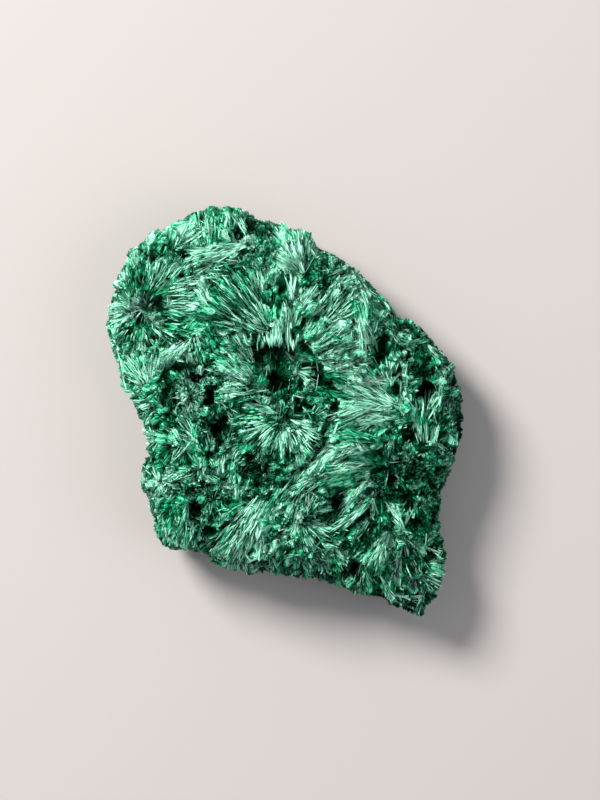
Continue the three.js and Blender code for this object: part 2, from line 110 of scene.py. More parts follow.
# Small sprays tried between those of the table, and those of granular ground
SMALL_SPRAYS = 420
GRANULAR_SPREAD = 50
GRANULAR = 0.8

# Fibres of a narrow spray run as if from a point this share of its reach behind its start
FIBRE_START = 0.35
WIDE_SPRAY = 1.1

# Fibres rise and grow paler towards the end of a spray
TIP_RISES = 0.28
TIP_BRIGHTENS = 0.22

# Tones of the tables are drawn together, because light and shadow spread them again
TONE_MIDDLE = 0.53
TONE_SPREAD = 0.80
PALEST = 0.74
DARKEST = 0.14

# How far the edges of what the tables place are shaken
HOLLOWS_SHAKEN = 0.38
PATCHES_SHAKEN = 0.42
CALM_SHAKEN = 0.6
# How deep clefts are sunk and how much painted shade they get, from 0 to 1
CLEFT_DEPTH_AND_SHADE = 0.9

# Bundles of fibres and the splinters in them: width, length and relief in mm, swing in degrees
BUNDLE_WIDTH = 0.62
BUNDLE_LENGTH = 1.7
BUNDLE_SWING = 17
BUNDLE_SWING_IN_GRAIN = 60
BUNDLE_RELIEF = 0.36
BUNDLE_TONES = 0.30
BUNDLES_SUNK = 0.24
# Sunk bundles are lowered, and this much painted shade darkens them
SUNK_PAINTED_SHADE = 0.20
SPLINTER_WIDTH = 0.24
SPLINTER_LENGTH = 1.5
SPLINTER_RELIEF = 0.17
HOLLOW_DEPTH = 0.65
BODY_SUNK = 0.12

# Crumbs of the mass to the metre, and the height of its bumps in metres
CRUMBS = 3600.0
BUMP_HEIGHT = 0.00007

# Body: what counts as the crystal face, and how often its edges and the other edges are cut
FACE_TILT = 0.25
FACE_CUTS = 4
SIDE_CUTS = 3
FLOOR_GAP = 0.03

# Sides and back: how many sprays, how far they reach and the height at which tufts begin
SIDE_SPRAYS = 70
SIDE_SEED = 77
SIDE_REACH = 3.2
SIDE_FOOT = 0.6

# Heights above this are drawn in softly, by this much at the most
HIGHEST = 14.1
TOP_ROOM = 0.6


# Repeatable noise


def lattice(ix, iy, iz, seed):
    h = (ix * 374761393 + iy * 668265263 + iz * 2147483647 + seed * 974634777) & 0xFFFFFFFF
    h = ((h ^ (h >> 13)) * 1274126177) & 0xFFFFFFFF
    h = ((h ^ (h >> 16)) * 2246822519) & 0xFFFFFFFF
    return ((h ^ (h >> 15)) & 0xFFFFFF) / float(0xFFFFFF)


def value_noise(points, size, seed):
    """Smooth noise from -1 to 1 on rows of X, Y, Z, with features of that size."""
    p = np.asarray(points, dtype=float) / size
    base = np.floor(p).astype(np.int64)
    f = p - base
    f = f * f * (3.0 - 2.0 * f)
    total = np.zeros(len(p))
    for dx in (0, 1):
        for dy in (0, 1):
            for dz in (0, 1):
                weight = (f[:, 0] if dx else 1 - f[:, 0])
                weight = weight * (f[:, 1] if dy else 1 - f[:, 1])
                weight = weight * (f[:, 2] if dz else 1 - f[:, 2])
                total += weight * lattice(base[:, 0] + dx, base[:, 1] + dy, base[:, 2] + dz, seed)
    return total * 2.0 - 1.0


def smoothstep(x, low, high):
    t = np.clip((x - low) / (high - low), 0.0, 1.0)
    return t * t * (3.0 - 2.0 * t)


def lowered(z):
    """Heights in mm, drawn in softly so that nothing stands above the highest fan."""
    over = np.maximum(z - HIGHEST, 0.0)
    return np.minimum(z, HIGHEST) + TOP_ROOM * (1 - np.exp(-over / TOP_ROOM))


def unit(v):
    return v / np.maximum(np.linalg.norm(v, axis=-1, keepdims=True), 1e-9)


# Sprays of the crystal face
SPRAYS = []


def spray(x, y, heading, half_spread, reach, lift, tone, grain=0.0):
    """A fan of fibres from x, y. Its heading and half spread are in degrees, the lift is that of
    its far end, the tone goes from 0 dark to 1 pale and the grain from 0 silky to 1 granular."""
    SPRAYS.append((x, y, math.radians(heading), math.radians(half_spread), reach, lift, tone, grain))


rng = np.random.default_rng(41)


def strew(x, y, half_width, half_height, count, reach, lift, tone):
    """Small sprays that look every way, over an oval of granular ground."""
    for _ in range(count):
        turn = rng.uniform(0, 2 * math.pi)
        out = math.sqrt(rng.uniform())
        spray(
            x + half_width * out * math.cos(turn),
            y + half_height * out * math.sin(turn),
            rng.uniform(0, 360),
            GRANULAR_SPREAD,
            reach * rng.uniform(0.7, 1.3),
            lift,
            tone + rng.uniform(-0.12, 0.12),
            GRANULAR,
        )


for row in (
    # Upper left rosette, all round its pit
    (-14.4, 11, -4, 28, 6, 1.1, 0.86), (-15.4, 11.4, 36, 16, 6.4, 0.9, 0.6),
    (-16, 11.2, 64, 15, 6.6, 0.9, 0.52), (-16.1, 11.2, 95, 17, 6.2, 0.8, 0.56),
    (-16.3, 11.2, 130, 17, 4.6, 0.6, 0.66), (-16.3, 11, 166, 22, 3.8, 0.5, 0.86),
    (-16.4, 10.8, 206, 22, 3.6, 0.5, 0.8), (-16.2, 10.6, 248, 20, 4, 0.6, 0.48),
    (-15.9, 10.6, 290, 18, 6.2, 0.8, 0.64), (-15.6, 10.6, 324, 18, 5, 0.8, 0.54),
    # Top left fan and the folded columns beside it
    (-3.8, 18.2, 200, 12, 7, 1.2, 0.66), (-3.6, 15.8, 180, 10, 6.4, 1.1, 0.46),
    (-4.9, 18.6, 136, 18, 4.4, 1, 0.58), (-8.4, 16.8, 98, 15, 5.2, 1.1, 0.52),
    (-9, 21.4, 212, 20, 3.6, 1, 0.72), (-7.6, 11.4, 125, 14, 2.8, 1.5, 0.95),
    (-4.2, 19.4, 118, 12, 2.4, 1.5, 0.85), (-2.4, 19, 92, 26, 2.8, 1.1, 0.48),
    # Pale fan under the top edge and the small fans below it
    (1.9, 14.7, 108, 17, 5.5, 1.4, 0.8), (1.9, 14.7, 142, 17, 3.3, 1.3, 0.76),
    (1.9, 14.7, 84, 8, 5, 1.3, 0.5), (1.9, 14.7, 60, 14, 4.6, 1.2, 0.7),
    (0.9, 12, 95, 13, 2.8, 1.3, 0.9), (-2.1, 12.7, 95, 38, 2.6, 1, 0.7),
    (1.3, 10.6, 56, 18, 3, 1.2, 0.8), (3.4, 8.6, 50, 17, 5.2, 1, 0.76),
    # Band of fibres down the upper right
    (7.2, 16.6, 287, 12, 7.2, 1.1, 0.84), (8, 16.2, 304, 13, 5.8, 0.9, 0.42),
    (11.4, 12.4, 250, 16, 2.6, 0.9, 0.74), (10.6, 9.8, 308, 7, 3.6, 1.3, 0.8),
    (8, 10.9, 295, 13, 4.8, 1.2, 0.9), (8.8, 7.6, 12, 16, 2.6, 1, 0.5),
    (9.3, 6.8, 300, 10, 2.6, 1.2, 0.7), (15.2, 7.6, 315, 22, 2.8, 1, 0.8),
    (9.4, 5.2, 195, 12, 2.3, 1.4, 0.92),
    # Fans that open away from the middle cavity
    (-0.2, 7, 138, 20, 10, 1.4, 0.5), (-5.6, 5.6, 127, 18, 6, 1, 0.52),
    (-0.4, 6.2, 96, 20, 3.4, 1.3, 0.95), (-0.5, 6.2, 96, 19, 5.4, 1.1, 0.78),
    (0.6, 7.4, 66, 14, 4.8, 0.9, 0.62), (0.2, 5.4, 29, 22, 6.8, 1.3, 0.76),
    (2.4, 4.4, 3, 16, 7.2, 0.9, 0.72), (-2.6, 4, 158, 26, 5.6, 1.1, 0.64),
    (-2.2, 2.1, 192, 22, 5, 1, 0.62),
    # Inside the middle cavity
    (1.1, 6.4, 262, 14, 4.2, 0.7, 0.64), (1.65, 4, 340, 50, 1.6, 1, 0.74),
    (2.2, 3.4, 320, 34, 4.4, 0.45, 0.54, 0.4), (-0.9, 6.2, 268, 22, 1.8, 0.6, 0.36),
    # Rosette below the cavity
    (-0.4, -0.5, 178, 13, 5, 1.1, 0.8), (-0.9, -1.2, 203, 12, 4, 1, 0.62),
    (-1.9, -1.6, 226, 16, 5.8, 1, 0.52), (-0.5, -1.4, 240, 10, 3.6, 1.2, 0.54),
    (-0.2, -0.9, 262, 9, 4.2, 1.3, 0.56), (0.2, -1.6, 282, 10, 3.2, 1.2, 0.5),
    (0.1, -0.9, 302, 8, 4.3, 1.2, 0.52), (0.5, -1.1, 322, 9, 3.6, 1.1, 0.48),
    (0.3, -0.6, 341, 10, 3.8, 0.9, 0.58),
    # Left edge and left middle
    (-14.6, 2.2, 116, 42, 4.4, 0.9, 0.72), (-9.8, 9, 222, 20, 4.6, 1.1, 0.92),
    (-14.4, 0.8, 188, 16, 3.2, 0.9, 0.74), (-13.4, 0.6, 228, 24, 2.4, 0.7, 0.38),
    (-9.2, -3.6, 132, 22, 4.4, 1, 0.52), (-7.6, -3.8, 92, 16, 3.2, 0.9, 0.44),
    (-8.3, -5, 92, 38, 2.9, 1, 0.62), (-12.4, -3, 184, 16, 3.2, 0.9, 0.8),
    (-12.2, -4.2, 225, 30, 3, 0.9, 0.48), (-7.2, -7.8, 92, 18, 2.4, 1.4, 0.95),
    (-5.2, -9.8, 100, 18, 2, 1.3, 0.9), (-10, -6.7, 190, 16, 2.6, 1.1, 0.76),
    (-8, -9.5, 90, 180, 1.3, 0.8, 0.5),
    # Lower left corner
    (-10.6, -9.8, 256, 12, 4.8, 1, 0.62), (-12.4, -11, 270, 26, 3, 0.9, 0.58),
    (-11.8, -13.4, 265, 28, 2.8, 0.9, 0.58), (-2.4, -9, 233, 12, 8.4, 1.1, 0.72),
    (-5.6, -12, 250, 24, 4.4, 0.8, 0.6), (-0.6, -8.4, 240, 13, 7.8, 1.1, 0.7),
    (1.6, -8.2, 242, 12, 4, 1.2, 0.88),
    # Long sweeping fans of the right middle, which end in a raised step
    (12.6, 0.2, 146, 16, 7, 1.3, 0.88), (12.6, 0.6, 180, 14, 6.8, 1.3, 0.82),
    (12.6, 1, 202, 11, 7.8, 1.3, 0.9), (12.2, -1, 184, 10, 4.8, 1.4, 0.95),
    (12.2, -3.6, 163, 12, 7.4, 1.25, 0.46), (10.4, -4.6, 176, 9, 5.6, 1.3, 0.82),
    (9.6, -6, 182, 12, 5.8, 1.2, 0.62), (9.4, -7, 197, 12, 5.8, 1.15, 0.58),
    (4.6, -5.6, 231, 15, 6.6, 1, 0.62),
    # Right rosette, the fan below the right pit and the right edge
    (15.1, -3.6, 88, 24, 4.9, 1, 0.66), (10.9, 2.6, 84, 24, 2.8, 0.9, 0.82),
    (12.3, 3.4, 284, 9, 3.4, 1.3, 0.88), (15.1, -0.6, 72, 20, 3.4, 1.2, 0.76),
    (17.2, -1.6, 98, 20, 5.4, 0.9, 0.38), (17.3, -4.1, 145, 14, 1.6, 1.1, 0.72),
    # Ring of short fibres at the lower right
    (1.8, -12.1, 354, 14, 3.6, 1.2, 0.7), (1.8, -12.1, 322, 17, 4.2, 1.1, 0.58),
    (1.8, -12.1, 288, 17, 3.8, 1, 0.52), (1.9, -12, 62, 24, 3.4, 0.9, 0.4),
    (5, -10.9, 180, 8, 1.9, 1.3, 0.72), (4.8, -10.2, 130, 30, 2, 0.9, 0.6),
    (9.2, -7.8, 222, 14, 4.6, 1.15, 0.68), (9.8, -9.4, 216, 11, 6.4, 1.15, 0.64),
    (9.6, -10.6, 236, 10, 4.4, 1, 0.52), (9.3, -8.9, 284, 10, 3.8, 1.2, 0.66),
    (9.4, -11, 262, 16, 4.8, 0.9, 0.28),
    # Bottom right
    (12.9, -12.8, 106, 12, 2.6, 1.3, 0.66), (12.9, -12.8, 66, 8, 2.1, 1.3, 0.62),
    (11.2, -13.2, 242, 22, 4.4, 1.2, 0.58), (12.2, -14.6, 268, 16, 4.6, 0.9, 0.36),
    (10, -17.8, 300, 10, 3.4, 1.1, 0.54), (13, -17.8, 280, 26, 3.2, 0.8, 0.32),
    (15.2, -17, 338, 26, 2.6, 1.1, 0.9), (14.8, -15.4, 288, 18, 4.6, 0.9, 0.34),
    (8.4, -16.4, 270, 34, 4, 0.9, 0.46),
    # Bottom edge
    (-5, -14.6, 262, 34, 3.2, 1.1, 0.54), (-1.2, -16.4, 190, 20, 2.6, 0.9, 0.46),
    (0.8, -15, 270, 30, 3.2, 0.9, 0.46), (3.2, -15.2, 276, 30, 3.4, 0.9, 0.52),
    (5.2, -16.6, 282, 28, 3.6, 0.8, 0.48),
):
    spray(*row)

# Granular patches
for row in (
    (-13.4, 17.2, 2.8, 1, 9, 1.2, 0.9, 0.36), (-14, 19, 2.4, 1.2, 6, 1.4, 0.5, 0.68),
    (-2.3, 17.3, 1.4, 1.4, 5, 1.2, 0.7, 0.46), (5.1, 16.4, 1.3, 1.8, 5, 1.4, 0.5, 0.48),
    (3.6, 13.4, 1.3, 0.7, 4, 1.1, 0.4, 0.45), (1.4, 17.8, 2.6, 1.4, 4, 1.4, 0.3, 0.45),
    (13, 8.8, 1.8, 1.8, 7, 1.4, 0.5, 0.36), (15, 8.2, 1.6, 1.4, 5, 1.4, 0.4, 0.38),
    (15.2, 4.8, 1.6, 1.2, 5, 1.2, 0.4, 0.34), (-10.3, 4.7, 1.2, 1.1, 5, 1.2, 0.3, 0.36),
    (-10.3, 1.3, 2, 1.7, 8, 1.1, 0.5, 0.52), (-14, -8.2, 1.5, 1.8, 7, 1.3, 0.5, 0.8),
    (-9.4, -9.2, 1.5, 2, 7, 1.3, 0.4, 0.34), (-2.2, -7.2, 3.2, 1.2, 10, 1.3, 0.5, 0.38),
    (12.2, -1.1, 0.9, 0.9, 4, 1, 0.4, 0.52), (13.6, -7, 3.4, 2.6, 18, 1.5, 0.5, 0.3),
    (16.8, -7, 1.4, 2.8, 8, 1.4, 0.5, 0.32), (15.6, -12.6, 1.5, 2.4, 9, 1.3, 0.5, 0.32),
    (-2.4, -13.8, 1.2, 1.7, 6, 1.3, 0.6, 0.72), (4.7, -15, 0.8, 1.5, 4, 1.2, 0.5, 0.66),
    (7, -14.8, 1.6, 1.2, 5, 1.3, 0.5, 0.5), (17.4, 0.8, 1.4, 2.4, 6, 1.4, 0.4, 0.36),
):
    strew(*row)

# Strands that stand out one by one
STRANDS = []
MINT, EMERALD, DUSTY = 0.0, 1.0, 2.0


def own_numbers(*values):
    """Random numbers that stay the same for the same values, whatever else the tables hold."""
    return np.random.default_rng([round(100 * (value + 100)) for value in values])


def rays(x, y, first, last, wanted, begin, end, width, tone, sort=MINT, loose=False, ledge=None, over=False):
    """A fan of strands between the first and last heading, which begin and end that far from x, y.
    Past its ledge a strand stands free of the ground, and those marked over may lie over pits."""
    pick = own_numbers(x, y, first, begin, tone)
    span = end - begin
    count = round(STRANDS_MORE * wanted)
    for number in range(count):
        heading = first + (last - first) * (number + 0.5) / count
        heading += pick.normal(0, 0.25) * (abs(last - first) / count + 3)
        near = begin + pick.uniform(-0.05, 0.2) * span
        far = end - pick.uniform(0, 0.3) * span
        if loose:
            size = span * pick.uniform(0.22, 0.5)
            near = begin + pick.uniform(0, 1) * (span - size)
            far = near + size
        broad = STRANDS_FINER * width * pick.uniform(0.6, 1.35)
        shade = tone + pick.normal(0, 0.11)
        STRANDS.append((x, y, math.radians(heading), near, far, broad, shade, sort, ledge, over))


def loose_rays(x, y, first, last, wanted, begin, end, width, tone, sort=MINT, ledge=None, over=False):
    """Short strands that lie anywhere between the two distances."""
    rays(x, y, first, last, wanted, begin, end, width, tone, sort, True, ledge, over)


def strand(x1, y1, x2, y2, width, tone, sort=MINT, ledge=None):
    """One strand from end to end."""
    heading = math.atan2(y2 - y1, x2 - x1)
    length = math.hypot(x2 - x1, y2 - y1)
    STRANDS.append((x1, y1, heading, 0.0, length, width, tone, sort, ledge, True))


# Upper left rosette
rays(-15.4, 12.6, 88, 88, 1, 0, 3.3, 0.15, 0.92)
rays(-15.2, 11.8, 48, 84, 8, 1.6, 4.6, 0.17, 0.74)
loose_rays(-15.2, 11.2, 0, 360, 26, 0.2, 1.8, 0.18, 0.62, DUSTY)
rays(-15, 16.8, 250, 290, 3, 0.2, 1.2, 0.34, 0.9)
rays(-16.2, 11.2, 100, 150, 5, 1.8, 4.6, 0.18, 0.6)
rays(-14.6, 11.1, 166, 200, 8, 2.9, 5.1, 0.24, 0.88)
rays(-15.8, 10.4, 208, 262, 6, 1.4, 4, 0.2, 0.62)
rays(-15.6, 9.8, 262, 292, 4, 1, 3.4, 0.2, 0.68)
rays(-15.6, 9.4, 299, 303, 1, 0.9, 5, 0.3, 0.92)
rays(-15.2, 9.6, 312, 335, 3, 0.9, 3.6, 0.22, 0.72)
rays(-12.8, 10.1, 89, 91, 1, 0, 3.2, 0.22, 0.84)
rays(-24, 11.9, -11, 11, 12, 11.4, 14.6, 0.22, 0.82)
loose_rays(-24, 11.9, -9, 9, 12, 11.6, 14.8, 0.16, 0.7)
rays(-13.6, 9.4, 330, 350, 4, 1, 3.8, 0.22, 0.46, EMERALD)
rays(-12.4, 7.4, 22, 44, 4, 1.2, 3.4, 0.24, 0.8, EMERALD)
# Top left fan, its neighbours and the folded columns
rays(-3.8, 18.2, 186, 211, 15, 0.9, 7, 0.3, 0.92)
strand(-5, 21, -4.2, 19.5, 0.22, 0.92)
strand(-5.2, 20.6, -4.6, 19.4, 0.16, 0.84)
loose_rays(-3.8, 18.2, 190, 208, 6, 1.5, 7, 0.18, 0.95)
rays(-3.6, 16.2, 174, 190, 5, 1.6, 6.4, 0.18, 0.72)
rays(-4, 14.6, 170, 184, 5, 1.6, 5.8, 0.17, 0.76)
rays(-7.4, 10.2, 112, 134, 6, 1.4, 4, 0.36, 0.97)
rays(-5.6, 18.4, 136, 166, 5, 0.6, 4, 0.24, 0.72)
rays(-7.6, 13, 80, 100, 4, 6, 8.8, 0.3, 0.82)
rays(-7.9, 13, 84, 98, 7, 6, 8.7, 0.28, 0.32, EMERALD)
rays(-4.3, 18.9, 114, 124, 2, 0.4, 2.3, 0.22, 0.9)
rays(-12, 17.6, 24, 60, 6, 1.4, 4, 0.24, 0.84)
loose_rays(-12.8, 18.4, 110, 170, 8, 0.6, 3.4, 0.22, 0.78)
# Pale fan under the top edge and the small ones below it
rays(1.9, 14.7, 90, 124, 10, 0.5, 5.4, 0.26, 0.88)
rays(1.9, 14.7, 126, 158, 8, 0.5, 3.3, 0.22, 0.86)
rays(2.1, 14.6, 98, 164, 10, 0.1, 2.2, 0.24, 0.88)
rays(1.9, 14.5, 54, 86, 7, 0.7, 4.4, 0.18, 0.72)
rays(-2.6, 12.4, 66, 122, 9, 0.7, 2.7, 0.32, 0.98)
rays(-1.3, 12.7, 74, 104, 6, 0.6, 2.6, 0.3, 0.98)
rays(1.1, 14.4, 96, 152, 10, 0.3, 2.4, 0.28, 0.98)
loose_rays(0.9, 11.9, 82, 112, 12, 0.2, 2.7, 0.26, 0.88, MINT, 0.1)
rays(1.5, 11, 38, 62, 7, 0.3, 2.8, 0.22, 0.84)
rays(2.4, 9.6, 38, 62, 6, 1, 4, 0.22, 0.76)
rays(0.4, 5, 22, 66, 17, 3.1, 5.6, 0.17, 0.78)
loose_rays(-0.6, 13, 259, 271, 12, 3.2, 6, 0.32, 0.9, MINT, 3.7, True)
loose_rays(0.2, 13, 268, 277, 9, 3.2, 6.3, 0.32, 0.9, MINT, 3.7, True)
loose_rays(-2.4, 12.2, 262, 280, 10, 3.6, 5.4, 0.24, 0.66, MINT, 3.4, True)
strand(1.3, 8.2, 1, 6.8, 0.16, 0.84, MINT, 0.2)
loose_rays(-2.2, 2.1, 118, 152, 9, 1.6, 3.8, 0.24, 0.92)
rays(0.4, 6.6, 72, 104, 7, 2.4, 4.2, 0.28, 0.92)
# Palest spots
loose_rays(1.9, 14.7, 120, 150, 6, 1, 2.4, 0.3, 0.98, over=True)
loose_rays(-0.2, 7, 74, 100, 6, 1.4, 3.2, 0.3, 0.98, over=True)
loose_rays(2.6, 9.8, 20, 60, 6, 0.4, 1.6, 0.26, 0.98, over=True)
loose_rays(-14.7, 2.3, 58, 84, 6, 1.4, 2.6, 0.26, 0.98, over=True)
loose_rays(-12.6, 5.4, 0, 40, 6, 0.3, 1.4, 0.26, 0.98, over=True)
loose_rays(0, -0.9, 280, 302, 5, 3.2, 4.6, 0.32, 0.98, over=True)
loose_rays(12.2, -0.9, 168, 192, 8, 0.4, 3, 0.28, 0.98, over=True)
loose_rays(8.2, 7.6, 60, 110, 6, 0.2, 1.4, 0.26, 0.95, over=True)
# Big fan: thin pale strands over deep green
loose_rays(-0.2, 7, 114, 160, 26, 2.6, 9.6, 0.17, 0.8)
rays(-0.2, 7, 118, 158, 10, 3, 9, 0.2, 0.74)
loose_rays(-0.2, 7, 118, 158, 12, 3.4, 8.6, 0.24, 0.36, EMERALD)
loose_rays(-3.6, 8.4, 146, 184, 10, 1.4, 4.8, 0.17, 0.7)
loose_rays(-5.4, 12.4, 118, 150, 8, 0.6, 4, 0.16, 0.86)
# Upper right
loose_rays(7.3, 16.8, 284, 290, 6, 1, 7.2, 0.2, 0.84)
rays(8.6, 16.4, 296, 306, 5, 2, 4.8, 0.14, 0.62)
loose_rays(7.6, 16, 190, 232, 12, 0.4, 3.6, 0.2, 0.74)
rays(3.8, 9, 22, 74, 14, 1.4, 5.2, 0.18, 0.76)
rays(8, 11.2, 272, 300, 9, 0.8, 5.2, 0.28, 0.92)
loose_rays(5.2, 7.6, 20, 80, 9, 0.4, 2.6, 0.2, 0.78)
rays(0.2, 4.6, 8, 38, 14, 3.2, 7.6, 0.19, 0.76)
strand(10.4, 7.7, 9.5, 7, 0.14, 0.62, DUSTY)
strand(9.9, 6.3, 10.8, 4.3, 0.2, 0.82)
strand(9.6, 5.8, 10.4, 4.3, 0.16, 0.86)
rays(10.4, 9.7, 308, 312, 1, 0.4, 3.3, 0.15, 0.9)
rays(9.6, 5.2, 188, 200, 2, 0.3, 2.2, 0.3, 0.92, DUSTY)
loose_rays(2.4, 4.1, -4, 7, 6, 3, 8.4, 0.24, 0.84)
rays(12.4, 7, 8, 24, 3, 1.2, 3.4, 0.14, 0.76)
strand(13.2, 2.6, 13.1, 4.2, 0.26, 0.86)
strand(13.1, 4.1, 13.6, 5.4, 0.24, 0.84)
strand(13.5, 5.3, 14.2, 6.2, 0.22, 0.82)
strand(11.1, 9.2, 12.4, 7.4, 0.14, 0.84)
rays(14.8, 7.8, 310, 332, 4, 1.2, 2.8, 0.26, 0.82)
rays(10.4, 12.8, 286, 330, 5, 0.8, 2.2, 0.24, 0.74)
# Cavity and its walls
loose_rays(-2.2, 2.1, 128, 162, 11, 2.4, 6.6, 0.22, 0.84)
loose_rays(-2.2, 2.1, 162, 184, 6, 1, 5, 0.22, 0.8)
strand(0, 6.3, 0.7, 5.6, 0.22, 0.7, DUSTY)
strand(0.7, 5.6, 1.1, 4.7, 0.2, 0.72, DUSTY)
strand(1.15, 4.8, 1.05, 3.9, 0.16, 0.92)
strand(1.05, 3.9, 0.9, 3, 0.14, 0.74)
strand(0.95, 3, 1.4, 2.2, 0.14, 0.72)
strand(0.6, 3.5, 0.4, 2.4, 0.14, 0.62)
strand(0.4, 2.4, 0.1, 1.2, 0.12, 0.58)
rays(1, 4.3, -44, 14, 10, 0.6, 2.1, 0.2, 0.78, over=True)
rays(0.9, 5.5, -10, 2, 3, 0.3, 1.9, 0.2, 0.68, DUSTY, over=True)
strand(-1.6, 6.3, -2.2, 4, 0.16, 0.7)
strand(-2.2, 4, -2.3, 3.2, 0.16, 0.8)
strand(-0.1, 5.9, 0.2, 4.6, 0.12, 0.64, EMERALD)
strand(-0.5, 3, -0.9, 1.8, 0.14, 0.42)
strand(-1.3, 2.6, -1.6, 1.6, 0.14, 0.46)
strand(3.2, 6.3, 3.3, 5.4, 0.14, 0.86)
strand(3.3, 5.4, 3.6, 4.4, 0.14, 0.82)
strand(3.65, 3.8, 3.4, 2.7, 0.14, 0.66, DUSTY)
strand(1.7, 8.1, 2.8, 6.6, 0.3, 0.6, DUSTY)
strand(-4.7, 1.6, -2.3, 2.1, 0.12, 0.94)
strand(-0.8, 1.2, -1, -0.6, 0.18, 0.74, EMERALD)
strand(-0.5, 0.8, -0.6, -0.4, 0.16, 0.84)
strand(0.8, 0.9, 0.9, -0.4, 0.1, 0.66, DUSTY)
strand(0.3, 1.8, 1.9, 1.4, 0.16, 0.6, DUSTY)
rays(1.4, 1, 300, 340, 5, 0.6, 3.4, 0.22, 0.4, EMERALD)
# Rosette below the cavity: blunt shards with dark gaps
rays(-0.2, -0.4, 150, 172, 4, 0.6, 3, 0.34, 0.88)
rays(0, -0.9, 180, 206, 6, 1.6, 6.2, 0.22, 0.8)
loose_rays(-0.4, -0.6, 212, 246, 9, 1.4, 6, 0.24, 0.64)
rays(0, -0.9, 214, 250, 6, 1.6, 3.6, 0.34, 0.76)
rays(0, -0.9, 252, 300, 7, 1, 4.2, 0.36, 0.88)
rays(0.2, -0.9, 300, 344, 7, 0.7, 4.3, 0.32, 0.9)
strand(5.7, -1.5, 4.4, -3.9, 0.22, 0.92)
strand(4.3, -4, 2.8, -5.4, 0.24, 0.95)
strand(2.7, -5.5, 1.2, -6.9, 0.24, 0.92)
strand(1.1, -7, -0.1, -8.6, 0.22, 0.88)
loose_rays(8.8, -1.4, 212, 234, 16, 3.4, 7.6, 0.28, 0.92)
loose_rays(5.4, -3.4, 216, 236, 12, 1.2, 4.2, 0.3, 0.98)
loose_rays(2.6, -6, 212, 240, 9, 0.2, 2.6, 0.26, 0.94)
loose_rays(9.4, -3.4, 186, 206, 12, 1.4, 5.4, 0.28, 0.9)
rays(9.6, -6.4, 187, 194, 5, 0.6, 5.8, 0.24, 0.62, EMERALD)
# Left edge and left middle
rays(-14.7, 2.3, 72, 160, 26, 0.8, 4.3, 0.18, 0.84)
loose_rays(-18.6, 7.4, 280, 290, 8, 0.2, 6.8, 0.26, 0.84)
rays(-14.8, 8.9, 297, 299, 1, 0.8, 4.4, 0.16, 0.94)
rays(-9.2, 8.4, 208, 228, 9, 1.6, 4.8, 0.24, 0.94)
loose_rays(-9.8, 9.6, 246, 282, 8, 1.4, 3, 0.24, 0.86)
loose_rays(-12.2, 6.6, 190, 310, 12, 0.1, 1.4, 0.28, 0.96)
rays(-14.2, 2.6, 58, 84, 7, 1.2, 3.4, 0.22, 0.92)
strand(-8, 4.3, -6.4, 4.2, 0.24, 0.94)
strand(-6.5, 4.2, -5, 3.6, 0.26, 0.96)
loose_rays(-2.2, 2.1, 142, 162, 12, 2.2, 6.2, 0.26, 0.96)
loose_rays(-3, 4.2, 106, 134, 10, 0.6, 4.4, 0.22, 0.92)
rays(-10.4, 4.8, 290, 320, 3, 0.3, 1.6, 0.12, 0.8)
rays(-9.2, -3.7, 112, 166, 12, 0.6, 3.8, 0.18, 0.74)
loose_rays(-10.4, 1.4, 0, 360, 22, 0.2, 1.8, 0.18, 0.78, DUSTY)
loose_rays(-9.6, 3, 0, 360, 10, 0.2, 1, 0.16, 0.66, DUSTY)
rays(-8.2, -5, 78, 106, 6, 0.8, 2.5, 0.12, 0.84)
rays(-6.6, -4.4, 60, 80, 4, 0.6, 3, 0.12, 0.66)
rays(-14.2, 1, 176, 204, 6, 0.8, 2.8, 0.24, 0.8)
rays(-13.2, -2.4, 190, 236, 6, 0.8, 2.6, 0.24, 0.78)
rays(-12.6, -5.9, 40, 60, 3, 0.4, 2.8, 0.26, 0.86)
rays(-7.3, -8.2, 76, 104, 6, 1.2, 2.8, 0.24, 0.92)
rays(-5.2, -10.4, 84, 100, 3, 0.9, 2, 0.24, 0.88)
strand(-7.8, 1, -6.2, -0.2, 0.16, 0.86)
strand(-6.2, -0.2, -5.6, -1.6, 0.16, 0.84)
strand(-6.9, 0.9, -5.6, -0.1, 0.14, 0.8)
# Lower left
rays(-12.6, -7.9, 18, 36, 4, 0.2, 2.8, 0.24, 0.82)
loose_rays(-13.8, -7.8, 0, 360, 16, 0.1, 1.9, 0.24, 0.82)
rays(-10.5, -9.6, 250, 266, 7, 1, 5.4, 0.24, 0.58, EMERALD)
rays(-13.4, -11.2, 244, 284, 5, 0.4, 2.8, 0.24, 0.76)
rays(-7.8, -9.7, 0, 360, 16, 0.3, 1.6, 0.13, 0.72)
rays(-10, -11.8, 254, 270, 3, 0.4, 2.6, 0.18, 0.76)
loose_rays(-0.4, -6.4, 226, 246, 36, 3.8, 11.8, 0.22, 0.76)
loose_rays(-3, -10.6, 262, 280, 8, 0.6, 5, 0.24, 0.7)
rays(2, -7.6, 244, 258, 7, 1.2, 4.2, 0.24, 0.88)
rays(-4.9, -15, 230, 310, 8, 0.4, 2.6, 0.2, 0.64)
# Long sweeping fans of the right middle
rays(13.6, -0.4, 138, 156, 12, 2.2, 5.4, 0.17, 0.86)
loose_rays(13.6, -0.4, 150, 176, 22, 2, 7.8, 0.18, 0.9)
loose_rays(12.9, 1.6, 194, 208, 20, 2.6, 8.8, 0.2, 0.94)
rays(12.8, -0.6, 180, 196, 18, 1.6, 4.8, 0.26, 1)
loose_rays(14.2, -0.6, 248, 290, 9, 0.2, 2, 0.22, 0.94)
loose_rays(5.6, 6.2, 0, 32, 10, 0.8, 3.6, 0.22, 0.9)
loose_rays(12.6, -4, 160, 170, 8, 2, 8, 0.24, 0.44, EMERALD)
rays(6.2, -1.9, 308, 320, 4, 0.8, 3.4, 0.13, 0.86)
loose_rays(11.4, -4.4, 174, 186, 9, 2.4, 7, 0.24, 0.8)
loose_rays(10.6, -5.8, 178, 190, 8, 1.6, 6.8, 0.22, 0.82)
loose_rays(10, -6.4, 186, 200, 8, 1.6, 7, 0.24, 0.64, EMERALD)
